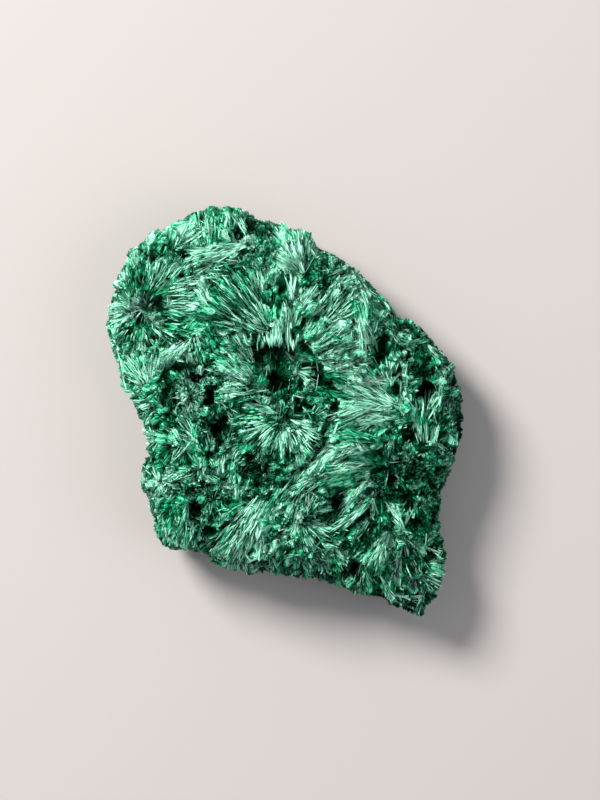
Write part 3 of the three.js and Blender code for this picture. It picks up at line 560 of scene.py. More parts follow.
loose_rays(7.6, -4.8, 206, 220, 10, 1, 8, 0.22, 0.74)
loose_rays(7.6, -4.8, 220, 236, 8, 1, 3.4, 0.22, 0.7)
# Right rosette
rays(15.5, -7.2, 73, 108, 16, 3.7, 5.4, 0.19, 0.8)
rays(15, -1.8, 56, 98, 12, 1.2, 3.9, 0.22, 0.82)
loose_rays(15, -0.8, 52, 96, 8, 0.8, 3.8, 0.2, 0.66)
rays(11.4, 2.9, 166, 177, 5, 0.2, 4.4, 0.17, 0.76, DUSTY)
rays(12.3, 3.6, 274, 288, 3, 0.4, 3.2, 0.24, 0.92)
loose_rays(11.4, 2.5, 50, 130, 14, 0.6, 3, 0.26, 0.9)
loose_rays(7.2, 3, -6, 10, 8, 0.2, 4, 0.2, 0.84, DUSTY)
rays(15.6, -3.1, 306, 332, 5, 0.5, 2.2, 0.12, 0.92)
rays(17.4, -5.4, 96, 110, 3, 0.6, 1.6, 0.28, 0.94)
rays(18.8, -3.8, 86, 100, 3, 0.2, 1.3, 0.3, 0.96)
loose_rays(17, 4.4, 262, 278, 8, 0.4, 5.6, 0.14, 0.66)
loose_rays(18.2, 3.6, 258, 276, 8, 0.4, 6, 0.14, 0.5)
rays(10.8, -8.6, 72, 84, 2, 0.2, 1.5, 0.16, 0.84)
rays(10.9, -5.7, 0, 12, 1, 0.2, 1.8, 0.16, 0.88)
rays(12.2, -5.6, 80, 100, 2, 0.1, 0.9, 0.26, 0.94)
# Ring at the lower right and the bands beside it
rays(2, -12.2, 54, 80, 6, 0.6, 3.2, 0.15, 0.66)
loose_rays(2.4, -8.2, 262, 306, 9, 0.6, 2.8, 0.16, 0.66, DUSTY)
rays(3.1, -10.9, -4, 4, 2, 0.2, 1.8, 0.22, 0.86)
rays(4.6, -9.9, 140, 190, 4, 0.2, 1.6, 0.18, 0.7)
rays(1.9, -12.2, 330, 358, 9, 0.4, 3.4, 0.22, 0.66)
loose_rays(1.9, -12.2, 284, 330, 14, 0.6, 3.4, 0.18, 0.6)
rays(9.6, -7.2, 208, 226, 10, 0.8, 3.9, 0.26, 0.76)
rays(10.2, -9.2, 214, 226, 12, 0.8, 6.4, 0.26, 0.68)
rays(10.2, -10.4, 230, 240, 7, 1.4, 4.4, 0.22, 0.6)
rays(9.5, -8.6, 264, 284, 5, 0.4, 3.2, 0.26, 0.68)
rays(10.4, -8.8, 266, 280, 5, 0.8, 4.8, 0.24, 0.3, EMERALD)
rays(10.8, -9.8, 300, 330, 4, 0.2, 2.2, 0.15, 0.84)
# Bottom right
rays(12.95, -12.8, 106, 118, 3, 0.2, 2.5, 0.34, 0.94)
rays(12.95, -12.8, 62, 74, 2, 0.3, 2, 0.28, 0.9)
rays(11.3, -13, 224, 262, 14, 0.1, 4.5, 0.28, 0.8)
loose_rays(12.4, -13, 276, 312, 10, 0.6, 5.6, 0.15, 0.58)
rays(12.6, -14.6, 254, 272, 7, 0.8, 4.2, 0.24, 0.46, DUSTY)
rays(14, -17.4, 320, 350, 4, 1.4, 3.4, 0.34, 0.9)
rays(15.4, -14.9, 84, 92, 1, 0, 1.4, 0.2, 0.92)
loose_rays(14.8, -14.6, 320, 350, 6, 0.4, 2.6, 0.2, 0.82)
rays(10.2, -17.8, 294, 304, 4, 0.3, 3.4, 0.2, 0.68)
rays(11.6, -20.2, 344, 356, 4, 0.3, 3.2, 0.2, 0.74, DUSTY)
loose_rays(15.8, -18.6, 244, 278, 8, 0.4, 3.8, 0.16, 0.54)
loose_rays(8.4, -16, 250, 300, 12, 0.8, 4.4, 0.14, 0.5)
loose_rays(2.4, -15.8, 0, 360, 24, 0.2, 2.4, 0.15, 0.56)
loose_rays(5.6, -16, 0, 360, 20, 0.2, 2, 0.15, 0.54, DUSTY)
loose_rays(-1.6, -15.4, 176, 300, 12, 0.4, 2.6, 0.2, 0.58)

# Patches: centre, half sizes, turn in degrees, change of tone, shares of clear emerald and dusty grey
# The change of tone is partly the stone's own and partly painted light and shade; the pale rows at (-18.8,
# 9.4), (-14.2, 19.2) and (-17, 18.1) are painted highlight on the lit upper left rim
PATCHES = [
    (-13.5, 17.3, 3.4, 1, 17, -0.34, 0, 0.2), (-14.2, 19.2, 3, 0.9, 34, 0.14, 0, 0.1),
    (-16.3, 11.3, 0.8, 0.7, 0, 0.16, 0, 1), (-15.2, 11.2, 2.4, 1.8, 0, -0.2, 0, 0.8),
    (-14.3, 10, 1.3, 0.6, 0, 0.06, 0, 1), (-18.8, 9.4, 0.9, 3.4, 0, 0.16, 0, 0),
    (-7.7, 20.5, 1.2, 1.6, 0, -0.08, 0.9, 0), (-2.4, 19.8, 0.9, 0.9, 0, -0.08, 0.9, 0),
    (-2.3, 17.4, 1.6, 1.6, 0, -0.12, 0, 0.6), (-1.4, 10.6, 0.7, 0.8, 0, -0.06, 0.9, 0),
    (3.6, 13.4, 1.4, 0.7, 0, 0, 0, 0.6), (-8.6, 20.6, 0.4, 0.6, 0, 0.05, 0, 1),
    (-4.5, 18.7, 0.6, 0.5, 0, 0.15, 0, 1), (-10.5, 8.5, 1, 0.8, 0, -0.02, 1, 0),
    (-11.8, 9.3, 1.1, 0.8, 0, -0.16, 0.8, 0), (-8.4, 8.2, 1.8, 1, 127, 0, 0.6, 0),
    (-10.3, 4.8, 1.3, 1.1, 0, -0.05, 0, 0.7), (-13.4, -1.7, 0.8, 0.5, 0, -0.16, 0.8, 0),
    (-10.7, -2, 1.3, 1.1, 0, 0, 0.8, 0), (-9.8, -4.2, 0.7, 0.5, 0, -0.14, 0.9, 0),
    (-9.1, -5.7, 0.6, 0.8, 0, 0.25, 0, 0), (-9.3, -9.3, 1.4, 2, 0, -0.18, 0, 0.5),
    (-6.4, -10.3, 0.8, 0.7, 0, -0.1, 0.9, 0), (-14.4, -13, 0.5, 0.6, 0, 0.28, 0, 0),
    (-3.6, -7, 1.8, 1.1, -10, -0.22, 0, 0.6), (-1.2, -7.2, 2, 1, -10, -0.18, 0, 0.3),
    (-2.3, 0.3, 1, 0.8, 0, 0.2, 0, 0), (-4.5, 0.5, 1, 0.5, 0, -0.18, 0.9, 0),
    (-4.2, -3.6, 1.3, 1.1, 40, -0.04, 0.8, 0), (1.1, 4.4, 0.6, 1.8, 8, 0, 0, 0.9),
    (-0.9, 5.4, 0.8, 0.6, 0, -0.08, 0.8, 0), (4, 1.8, 2.2, 1.6, -30, -0.04, 1, 0),
    (8.4, -2.2, 2.4, 0.8, -16, -0.18, 1, 0), (7.3, -5.2, 1, 0.5, 0, -0.04, 1, 0),
    (7.3, -7.5, 1, 0.6, 10, -0.02, 1, 0), (7.6, -9, 1.2, 0.7, 35, 0.04, 0, 0.5),
    (11, 3.8, 0.7, 0.8, 0, 0.16, 0, 0), (10.4, 7.4, 0.6, 0.6, 0, 0, 0, 0.9),
    (15.3, 4, 1.1, 0.6, 0, -0.08, 0, 0.6), (14.1, 0.1, 0.4, 0.4, 0, 0.1, 0, 1),
    (15.6, -1.8, 0.5, 1, 0, -0.06, 0.9, 0), (18.7, -3.1, 0.4, 0.5, 0, 0.34, 0, 0),
    (17.4, -4.3, 0.4, 0.4, 0, 0.32, 0, 0), (17.2, -7.4, 0.7, 0.3, 0, 0.22, 0, 1),
    (11.5, -9.8, 1, 0.6, 0, 0.12, 1, 0), (8, -12.8, 1.1, 1.3, 20, 0, 0, 0.5),
    (12, -16.8, 0.8, 1.7, 0, 0, 0, 0.9), (13.5, -19, 1.3, 1.1, 0, -0.04, 0, 0.7),
    (12.9, -20.9, 1, 0.3, 0, 0.16, 0, 0.9), (14.9, -14.2, 0.6, 0.6, 0, 0.18, 1, 0),
    (16.1, -15.5, 0.5, 0.5, 0, 0.22, 0, 0), (1.5, -12, 0.5, 1.2, 0, 0.04, 0, 0.8),
    (-4.9, -16, 0.6, 0.6, 0, 0, 0, 0.8), (3.2, -7.4, 0.6, 0.4, 0, 0.05, 0, 0.9),
    (-15.6, 14.2, 1.3, 1.6, 0, -0.2, 0.3, 0), (-16.6, 8, 1.6, 1, 0, -0.18, 0, 0.4),
    (-17, 18.1, 1.6, 0.6, 40, 0.22, 0, 0), (-6.4, 15.2, 2, 0.7, 0, -0.2, 0.6, 0),
    (-7.2, 9.6, 1.8, 0.8, 0, -0.16, 0.5, 0), (-0.2, 8.4, 0.9, 1.6, 8, 0.22, 0, 0),
    (1, 10.1, 0.9, 0.7, 0, 0.18, 0, 0), (2.7, 16, 0.8, 1.6, 0, -0.18, 0.6, 0),
    (9.6, 13.6, 0.6, 1.5, 35, -0.26, 0.3, 0), (13.6, 9, 2.4, 1, -15, -0.1, 0, 0.2),
    (14.9, 6.2, 0.8, 1.1, 0, -0.12, 0.8, 0), (16.5, 6.4, 0.8, 0.8, 0, 0.22, 0, 0),
    (8.5, 8.2, 0.8, 2.1, -4, 0.12, 0, 0), (-12.1, 6.4, 1, 1, 0, 0.1, 0, 0),
    (-8.3, 5.4, 0.8, 0.8, 0, -0.2, 1, 0), (-10.6, 3.4, 1.8, 1.2, 0, -0.14, 0, 0.7),
    (-9, -1.8, 0.45, 0.55, 0, 0.2, 0, 1), (-7.6, -0.2, 1.1, 0.9, 0, -0.14, 0.5, 0),
    (-13.6, -5, 1.6, 0.9, 0, -0.16, 0.6, 0), (-11.1, -5.2, 0.8, 0.8, 0, -0.12, 0, 0.4),
    (-7.3, -6.4, 0.8, 0.9, 0, 0.24, 0, 0), (-9.2, -6.1, 0.5, 0.45, 0, 0.2, 0, 0.5),
    (-13.6, -7.8, 1.8, 1.1, -10, 0.14, 0, 0), (-13.8, -10.9, 1.6, 0.7, 0, -0.2, 0, 0.4),
    (-3, 5.4, 0.9, 1, 0, -0.22, 0.8, 0), (4.9, 3.2, 1.1, 0.9, 0, -0.1, 1, 0),
    (3.6, 1.2, 1.5, 1.1, -20, -0.14, 0.8, 0), (1, -0.2, 0.8, 1.1, 0, -0.22, 0, 0.4),
    (6.2, -0.4, 0.8, 1.2, 30, 0.18, 0, 0), (9.8, -1, 1.6, 0.7, -10, 0.18, 0, 0),
    (13.2, 0.4, 0.7, 1.2, 0, -0.1, 0, 0.9), (17.8, 1.5, 1.1, 2.4, 0, -0.12, 0, 0.3),
    (12.6, -6.2, 3, 2.4, 0, -0.12, 0, 0.3), (4, -10.1, 1.9, 1.7, 0, -0.22, 0, 0.3),
    (7.2, -9.4, 1.2, 1, 35, 0.1, 0, 0.2), (7, -11.8, 1.9, 0.6, 40, 0.12, 0, 0),
    (-0.8, -13.7, 1.2, 1.1, 0, -0.06, 0, 0.7), (10.5, -11.2, 0.5, 1.8, 0, -0.22, 0.6, 0),
    (14.4, -12.6, 1.3, 1, 0, -0.12, 0.7, 0), (16.3, -17.5, 0.9, 0.7, 0, 0.28, 0, 0),
]


def touch(x, y, half_width, half_height, tone, turn=0):
    """A place that is paler or darker than its spray, by this change of tone: partly its own tone, partly
    painted light and shade.
    """
    PATCHES.append((x, y, half_width, half_height, turn, tone, 0.0, 0.0))


for row in (
    # Top left; the long thin rows at (-17.4, 15.8) and (-14.4, 19.6) are painted highlight on the lit rim
    (-16, 15.6, 0.9, 1.1, 0.5), (-12.6, 15.1, 1, 0.85, 0.46), (-17.4, 15.8, 2.8, 0.6, 0.24, 65),
    (-14.4, 19.6, 2.8, 0.5, 0.24, 33), (-9.6, 19, 1.2, 0.9, 0.16), (-9.2, 17.8, 1, 1.3, 0.46),
    (-8.3, 16.6, 1.1, 1, 0.34), (-7.6, 17.8, 1.6, 0.6, 0.14, 45), (-9, 16, 0.9, 0.7, 0.3),
    (-9.8, 14.3, 0.6, 0.5, -0.24), (-8.2, 13.8, 0.5, 0.7, 0.24), (-11, 18.2, 1.3, 0.5, 0.2),
    (-11.2, 15.4, 1.2, 0.7, 0.28), (-11.4, 17.2, 0.9, 0.5, -0.38), (-8.7, 20.8, 0.9, 0.6, -0.3),
    (-13.3, 16.5, 0.7, 0.7, -0.34), (-14.1, 13.4, 0.5, 0.9, -0.18), (-14.6, 10.5, 0.6, 0.6, -0.24),
    (-13.2, 11.4, 0.6, 0.5, -0.22),
    # Top middle
    (-6.3, 18.8, 1.5, 0.9, 0.64, 25), (-5.9, 20.6, 0.7, 1.3, 0.36), (-3.6, 18.4, 1.3, 1, 0.42),
    (-2.8, 18.2, 0.6, 1, 0.34), (-4.8, 17, 0.8, 0.7, 0.18), (-3.6, 20.3, 0.8, 0.8, -0.14),
    (-6.6, 14.8, 1.8, 0.6, -0.22), (-2.4, 13.4, 1.4, 0.8, 0.7, 8), (-3, 15.3, 0.8, 0.7, -0.28),
    (-8.6, 13.1, 0.7, 1.1, 0.54), (-2.2, 19, 0.6, 0.4, 0.16), (0.6, 15.6, 1.1, 0.9, 0.9),
    (0.8, 14.9, 0.9, 0.6, 0.2), (0.7, 14.1, 0.5, 0.4, -0.22), (-1.1, 14.1, 0.5, 0.5, 0.16),
    (4, 16.6, 0.6, 0.6, 0.15), (5.4, 15.3, 1.1, 0.6, 0.18, -30), (3.6, 13.9, 1.2, 0.9, -0.36),
    (3.9, 14.9, 0.8, 0.8, -0.14), (2.4, 13.2, 0.8, 0.5, -0.36, 10), (1.5, 17.9, 0.5, 0.8, -0.4),
    (5.2, 13.1, 1.1, 0.9, -0.3, 30),
    # Upper left rosette; the long thin row at (-18.9, 11.4) is painted highlight on the lit rim
    (-17.1, 10.6, 1, 1.5, 0.4), (-18.9, 11.4, 2.6, 0.5, 0.2, 80), (-15.9, 11.5, 0.7, 1.1, 0.4),
    (-16.8, 9.7, 0.8, 0.7, 0.36, 20), (-15.8, 9, 1.6, 0.6, 0.14, 20), (-13.9, 8, 0.9, 0.6, 0.16),
    (-12.3, 10.7, 1.1, 0.8, -0.42, -20), (-17.4, 7.4, 1.4, 0.6, -0.14), (-10.8, 11.9, 1.1, 0.7, -0.42),
    (-11.2, 9.6, 1.4, 0.6, -0.54, -20),
    # Big fan and the ground above the cavity
    (-0.6, 8.3, 1.8, 1.4, 0.5), (-4, 8.7, 1.2, 0.8, 0.14), (-8.8, 7.5, 0.8, 0.7, 0.34),
    (-4.3, 6.8, 0.8, 1.4, 0.6), (0.8, 9.4, 1.4, 0.6, 0.36, 15), (-1.1, 11.9, 1.1, 0.8, -0.38),
    (-0.2, 11.6, 0.8, 0.9, -0.6), (-5, 12.4, 2.4, 1.1, -0.2, -20), (-6.6, 12.8, 2, 1.1, -0.08),
    (-5.2, 11.2, 2, 0.8, -0.12), (-5.5, 10.1, 1.6, 0.8, -0.46, 18), (-3.8, 11.2, 0.9, 0.8, -0.56),
    (-2.2, 7.9, 0.8, 0.5, -0.42, 30), (-7.2, 8.8, 1.2, 0.7, -0.26, 20), (-0.8, 10.7, 0.9, 0.6, -0.22),
    (3.4, 10.7, 0.8, 0.6, 0.72), (2.8, 7.3, 0.7, 0.5, 0.4), (4.5, 8.8, 0.7, 0.8, -0.6, 15),
    (2.4, 6.6, 0.9, 0.7, -0.12),
    # Upper right
    (6.5, 11.8, 0.7, 0.8, 0.2), (7.2, 15.2, 0.8, 0.8, 0.1), (15, 8, 0.8, 0.8, 0.4),
    (7.6, 7.2, 1, 0.8, 0.68, 10), (8.4, 8.6, 0.5, 0.6, 0.16), (9.5, 6.7, 0.9, 0.8, -0.42),
    (12.4, 6.5, 1, 0.8, -0.9), (13.1, 8, 0.7, 0.6, -0.7), (11.6, 5.8, 0.6, 0.5, -0.24),
    (8.3, 11.6, 0.6, 0.6, -0.28),
    # Left edge and left middle
    (-9.7, 1.8, 1.8, 0.9, 0.5), (-8.9, 1.5, 0.7, 0.6, 0.68), (-13.8, 4.4, 1.1, 1, 0.72, 15),
    (-14.2, 3.1, 0.8, 1.1, 0.42), (-11.8, 5.7, 1.2, 0.7, 1.16, 15), (-11, 6.3, 1.6, 0.6, 0.24, 40),
    (-14.8, 1.8, 0.7, 1.2, 0.42, -25), (-12, 0.8, 0.7, 0.5, 0.38), (-15.5, 0.8, 0.7, 1.3, 0.26),
    (-10.6, 2.1, 0.7, 0.8, 0.3), (-17, 5.9, 0.7, 0.6, 0.2), (-13.9, 6.7, 1.5, 0.4, -0.28, 5),
    (-8.2, 5.3, 0.8, 0.8, -0.44, -10), (-9.2, 5.4, 0.8, 0.7, -0.62), (-13.9, 0.5, 0.5, 0.6, -0.32),
    (-5.8, 2.1, 1.2, 0.5, 0.14), (-4.8, 4.6, 1.8, 1.2, 0.28), (-6.2, 4, 1.1, 0.6, 0.46),
    (-3.4, 4, 1.5, 1.1, 0.5), (-3.8, 5.6, 0.9, 1.2, 0.16), (-2.4, 3, 1, 0.9, 0.48),
    (-7.2, 3.6, 0.8, 0.5, 0.36), (-10.4, 2.9, 0.5, 0.7, 0.26), (-2.2, 0.3, 0.7, 0.6, 0.26),
    (-4.5, -0.5, 1, 0.8, -0.24), (-7.3, 6.2, 0.5, 1.3, -0.4), (-7.2, 2.1, 0.6, 0.5, -0.36),
    (-4.4, 0.4, 1, 0.6, -0.46, 30),
    # Cavity, its right wall and the ground below
    (5.8, 4.8, 0.8, 0.7, 0.24), (0.6, 5.8, 0.5, 0.4, 0.16), (8.1, 0.3, 1.2, 0.4, 0.34, 22),
    (5.7, 1.8, 1, 1, -0.52), (6.3, 1, 0.7, 0.7, -0.3), (0.4, 2.6, 1.2, 0.9, -0.46),
    (0.2, 1.8, 1, 0.6, -0.34), (1.2, 1.9, 0.7, 0.5, -0.22), (-1.4, -0.7, 0.9, 0.8, -0.28),
    (7.8, 4.4, 0.9, 0.5, -0.32), (6, -2.6, 0.9, 0.7, -0.34, 15), (3.4, 4, 1.3, 0.7, -0.24, 45),
    (2.4, -2.6, 0.9, 0.7, -0.36), (2.5, 3.3, 0.6, 0.5, -0.16), (-0.6, -2.8, 0.8, 0.5, -0.12),
    # Right middle
    (12.2, 3.9, 1.3, 0.7, 1, 12), (12.3, 3.2, 0.6, 1, 0.22), (10.4, -1.3, 1.3, 0.6, 1.2, 5),
    (18, -2.8, 0.9, 0.9, 0.24), (17.2, -2.8, 1.5, 0.9, 0.3, 20), (16, 2, 0.6, 0.8, 0.48),
    (8.5, 5.8, 1.1, 0.4, 0.26), (14.2, 5.5, 0.7, 0.9, 0.5), (15, 5, 1.3, 0.7, 0.28, -30),
    (11.2, 0, 1, 0.4, 0.18), (13.9, -1.6, 0.6, 0.6, 0.95), (8.9, 1.3, 0.8, 1.1, 0.5),
    (19, -1.4, 0.5, 0.9, 0.18), (13.5, 0.4, 0.7, 0.8, -0.22), (9.8, 4.4, 0.6, 0.5, -0.18),
    (13.9, 1.3, 0.8, 0.8, -0.44), (10.7, 2.1, 1.1, 0.5, -0.24, -30), (11, 1.5, 0.6, 0.7, -0.7),
    (16.9, 0.8, 0.7, 0.6, -0.46), (17.4, 2.9, 0.6, 0.6, -0.46),
    # Lower left
    (-14.1, -4.6, 0.8, 0.8, 0.68), (-14.6, -3.6, 0.8, 1.1, 0.22), (-11.4, -9.6, 1.3, 0.8, 0.16),
    (-14.4, -7.9, 0.8, 1, 0.4), (-14, -2.2, 0.6, 0.7, 0.15), (-10.6, -10.8, 0.7, 0.7, 0.76),
    (-9.6, -12.4, 1.2, 0.6, 0.15), (-12.6, -6.4, 1, 0.9, -0.46), (-12.3, -12.2, 1.1, 0.9, -0.24),
    (-10.7, -2.1, 0.7, 0.9, -0.48), (-10, -5.6, 0.5, 1.3, -0.3), (-9.4, -7.6, 0.7, 0.6, -0.24),
    (-11.3, -4.9, 0.6, 0.5, 0.2), (-9, -10.3, 0.6, 0.7, -0.22),
    # Below the cavity
    (-2, -5.8, 1.2, 0.7, 0.42), (0.3, -5.7, 0.9, 0.6, 0.4), (-6.2, -9, 0.8, 0.6, 0.26),
    (-1.5, -8.9, 1.3, 0.7, 0.44, 20), (0.7, -9.9, 0.6, 0.6, 0.26), (-0.6, -7.8, 1, 0.8, 0.2),
    (-5.2, -2, 1.4, 0.9, -0.44, 10), (-5.9, -2.8, 1.1, 0.7, -0.56, 15), (-4.2, -1.8, 0.8, 0.5, -0.4),
    (-10.4, -3, 0.6, 0.7, -0.24), (-3.5, -4.9, 1.1, 0.6, -0.24, 20), (-4.5, -5.6, 1.4, 1, -0.18, 30),
    (-3.6, -9, 0.8, 0.7, -0.1), (-6.4, -4.4, 0.8, 1.2, -0.1), (-7, -5.2, 1, 0.6, -0.32, 30),
    (-5.8, -6.4, 1, 1.2, -0.12), (0.5, -7.2, 1.3, 0.7, 0.48, 20), (2.1, -8, 0.6, 0.5, -0.26),
    (1.1, -7.4, 1.2, 0.8, 0.5, 45), (2.7, -5.2, 1.5, 0.9, 1, 35), (4, -4.6, 1.3, 1.2, 0.68),
    (9, -9, 0.8, 0.8, 0.14), (6.7, -8.6, 1, 0.6, 0.5, 48), (8.2, -5.2, 0.9, 1, 0.15),
    # Lower right: darkened, partly its own dark ground, partly painted shade
    (15.4, -4.8, 0.9, 1.1, 0.26), (16.9, -5.3, 0.6, 1.1, 0.34), (11.4, -9, 0.6, 0.5, 0.15),
    (12.5, -9.1, 1.6, 0.8, -0.54), (15, -9, 1, 0.8, -1), (16.2, -9.4, 1, 0.6, -0.34),
    (9.8, -11, 1.1, 0.9, -0.26, 20), (18.8, -4.5, 0.7, 0.7, -0.9), (10.4, -3.7, 0.7, 0.8, -0.36),
    (11.3, -11.3, 1.1, 0.6, -0.8, 25), (7.4, -11.8, 0.8, 0.7, -0.56, 30),
    (7.2, -12.4, 0.6, 0.9, -0.18, -35), (5.8, -9.8, 0.4, 1.4, -0.4),
    # Bottom left and middle
    (-1.6, -14.4, 1.5, 1.4, 0.6), (-2.4, -11.2, 0.8, 1.2, 0.32, 20), (-2, -13.7, 0.5, 0.9, 0.48),
    (1, -12.7, 0.8, 1.4, 0.36, -15), (-3.6, -15.4, 2, 0.7, 0.16, 10), (0, -15.7, 1, 0.8, 0.26),
    (-0.6, -11.7, 0.8, 0.7, -0.56), (-7.8, -10.4, 0.8, 0.8, -0.14), (-7.2, -14.6, 1.3, 0.9, -0.34, 25),
    (-5.2, -12.3, 0.8, 0.9, -0.62), (-3.9, -13.8, 0.6, 0.6, -0.24), (-7, -11.4, 1, 0.7, -0.54),
    (0.4, -13.6, 0.8, 0.6, -0.36),
    # Bottom right
    (12.4, -12.8, 0.8, 0.8, 0.34, 10), (11.4, -16.4, 0.6, 0.8, 0.15), (15, -15.2, 0.8, 0.8, 0.52),
    (5.8, -11.6, 0.5, 0.5, 0.32), (14.6, -20, 0.7, 0.5, 0.15), (11.3, -14, 0.7, 0.8, 0.44),
    (13.9, -16.4, 0.7, 0.6, 0.2), (12.8, -13.4, 0.8, 0.9, -0.14), (8, -15.6, 1, 0.9, -0.18),
    (4.2, -16.8, 1.2, 0.7, -0.14), (4.2, -13.7, 1.9, 0.8, -0.46), (7.8, -14.6, 0.7, 0.8, -0.28),
    (5.4, -13.2, 1.6, 0.6, -0.24, 12), (7.2, -13.9, 1, 0.6, -0.1), (12.1, -20.9, 0.9, 0.6, -0.36),
    (8.8, -13.3, 0.7, 1.7, -0.4, -20), (7.1, -17, 1.2, 0.6, -0.36), (17.3, -16.4, 0.6, 0.8, -0.16),
    (2.6, -14.4, 0.7, 0.6, -0.32), (6.2, -16.6, 0.6, 0.7, -0.28), (4.4, -15.9, 0.6, 0.5, 0.18),
):
    touch(*row)

# Hollows: centre, half width, half height, turn in degrees and depth with painted shade from 0 to 1
HOLLOWS = [
    (-0.2, 4.5, 3.4, 2.7, 0, 0.12), (-0.8, 3.4, 1.5, 1, 8, 1), (-0.9, 5.3, 0.9, 0.8, 0, 0.6),
    (-2.7, 5.6, 0.9, 0.9, 0, 0.3), (-1.6, 6.6, 2, 0.45, -4, 0.8), (3.4, 4.1, 0.65, 1.5, 6, 1),
    (1.7, 6.5, 0.8, 0.8, 0, 0.9), (2.7, 5.9, 0.6, 0.6, 0, 0.8), (1.5, 2.6, 0.5, 0.6, 0, 0.6),
    (1.5, -0.2, 0.8, 0.7, 0, 0.8), (-14, 11.3, 0.9, 1, 0, 1), (-16.3, 10.7, 0.35, 0.35, 0, 1),
    (-15.8, 10.7, 1.5, 1.3, 0, 0.3), (-5.1, 19.1, 0.45, 0.9, 0, 1), (-3.9, 20.3, 0.45, 0.8, 0, 0.9),
    (-0.45, 13.1, 0.4, 1, 0, 1), (0.6, 11.8, 0.35, 0.4, 0, 0.9), (2.3, 9.4, 0.45, 0.5, 0, 0.9),
    (-1.4, 13, 0.25, 0.6, 0, 0.8), (4.7, 11.4, 0.5, 0.6, 0, 0.7), (-15.8, 6.2, 0.3, 0.3, 0, 0.9),
    (-11.2, 4.6, 1.5, 0.45, 0, 1), (-9.8, 3.6, 0.7, 0.3, 0, 0.9), (-13.4, 0.6, 0.4, 0.5, 0, 0.9),
    (-7.6, 2.4, 0.85, 0.5, 20, 1), (-8.3, 1.35, 0.6, 0.6, 0, 1), (-7, 3.5, 0.9, 0.25, -20, 0.8),
    (-14.1, -0.6, 0.4, 0.5, 0, 0.7), (-10.2, 6.3, 0.35, 0.25, 0, 0.9), (-9.3, 2.5, 0.4, 0.4, 0, 0.9),
    (-10, 3.4, 0.3, 0.3, 0, 0.9), (-11.6, 1.2, 0.3, 0.4, 0, 0.8), (-12.4, -0.4, 0.6, 0.45, 0, 0.8),
    (-7.2, -2, 0.9, 1.2, -10, 1), (-7, -3.3, 0.4, 0.8, 0, 0.8), (-8.8, -3.2, 0.3, 0.5, 0, 0.8),
    (-8.3, -13.3, 0.6, 0.9, 10, 0.85), (10.6, 7, 1.1, 1.5, 0, 1), (9.6, 6.4, 0.6, 1, 20, 0.9),
    (10.3, 5.5, 0.8, 0.8, 0, 0.9), (8.2, 5.4, 1.4, 0.25, 6, 0.7), (9.6, 4.8, 0.4, 0.5, 0, 0.8),
    (12.3, 4, 0.35, 0.4, 0, 0.95), (11.9, 2.6, 0.45, 0.4, 0, 0.9), (15.2, 2.2, 1, 1.1, -30, 1),
    (15, 3.7, 1.4, 0.7, 0, 0.5), (11.9, 1.9, 0.45, 0.7, 20, 0.8), (15.2, 4, 1, 0.6, 0, 0.5),
    (13.6, -2.8, 0.7, 0.6, 0, 1), (17.2, -3, 0.5, 0.6, 0, 0.9), (18.7, -4.5, 0.5, 0.6, 0, 0.9),
    (9.9, -4.8, 1.2, 0.6, 0, 0.55), (4.3, -2.2, 0.5, 1.1, 8, 0.55), (5.6, -10.1, 0.6, 1.8, 6, 1),
    (4.15, -9.55, 0.5, 0.3, -20, 0.8), (3.1, -8.65, 0.6, 0.3, 0, 0.9), (9.3, -13.5, 1.2, 1.6, 0, 0.4),
    (8.2, -13.8, 0.5, 0.5, 0, 0.6), (-0.6, -15.1, 0.3, 0.4, 0, 0.8), (0.7, -14.2, 0.25, 0.55, 0, 0.8),
    (2.6, -15.1, 0.2, 0.5, 0, 0.8), (4.8, -17, 0.5, 0.3, 0, 0.8), (6.8, -17.5, 0.3, 0.8, 0, 0.7),
    (10.1, -19.2, 0.45, 1.1, 0, 0.7), (17, -8.3, 0.8, 0.4, 0, 0.6),
]

# Clefts: two ends and the half width
CLEFTS = [
    (-15.1, 8.4, -14.4, 6.3, 0.25), (-0.3, 14.8, 1.5, 14.8, 0.2), (1.5, 14.8, 1.6, 14.2, 0.2),
    (-13, 4.1, -12.9, 0.5, 0.42), (-9.9, -10.3, -9.9, -12.4, 0.45), (-9.9, -12.4, -10.6, -13.8, 0.3),
    (0.9, 1.2, 3.7, -0.1, 0.34), (4.7, -2, 3.5, -4.3, 0.3), (2.8, -5.4, 1.7, -6.6, 0.28),
    (1.7, -6.6, -0.3, -8.3, 0.28), (5.3, 0.3, 4.6, -1.2, 0.3), (8.2, -0.9, 9.5, -0.3, 0.15),
    (4.8, -8.5, 5.6, -9.3, 0.4), (5.6, -9.3, 5.9, -10.4, 0.5), (5.9, -10.4, 5.3, -11.5, 0.45),
    (5.1, -11.6, 2.5, -11.9, 0.26), (9.2, -11, 6.4, -13.4, 0.3), (-4, -14.7, -3.9, -15.8, 0.22),
    (7.6, 9.6, 8.4, 9, 0.25), (12, -5.6, 11.4, -7, 0.35),
]

# Silky ground, where long fibres lie close: centre, half width, half height, turn in degrees
CALM = [
    (-12.6, 12.6, 4.6, 3.2, 0), (-9.6, 19.4, 5, 2.4, 22), (0.6, 17.4, 3.4, 2.6, 0),
    (8.8, 11, 1.5, 4.6, 14), (9.2, -0.6, 4.6, 4.2, 0), (7.4, -7.2, 4.2, 3.8, 0),
    (-4.2, -12, 4.4, 3, 50), (-15.8, 4.4, 2.4, 2.6, 0), (15.2, -1, 1.8, 2.6, 0),
    (-5.4, 10.6, 3.4, 2.4, 45), (10.4, -15.4, 1.4, 2, -20),
]


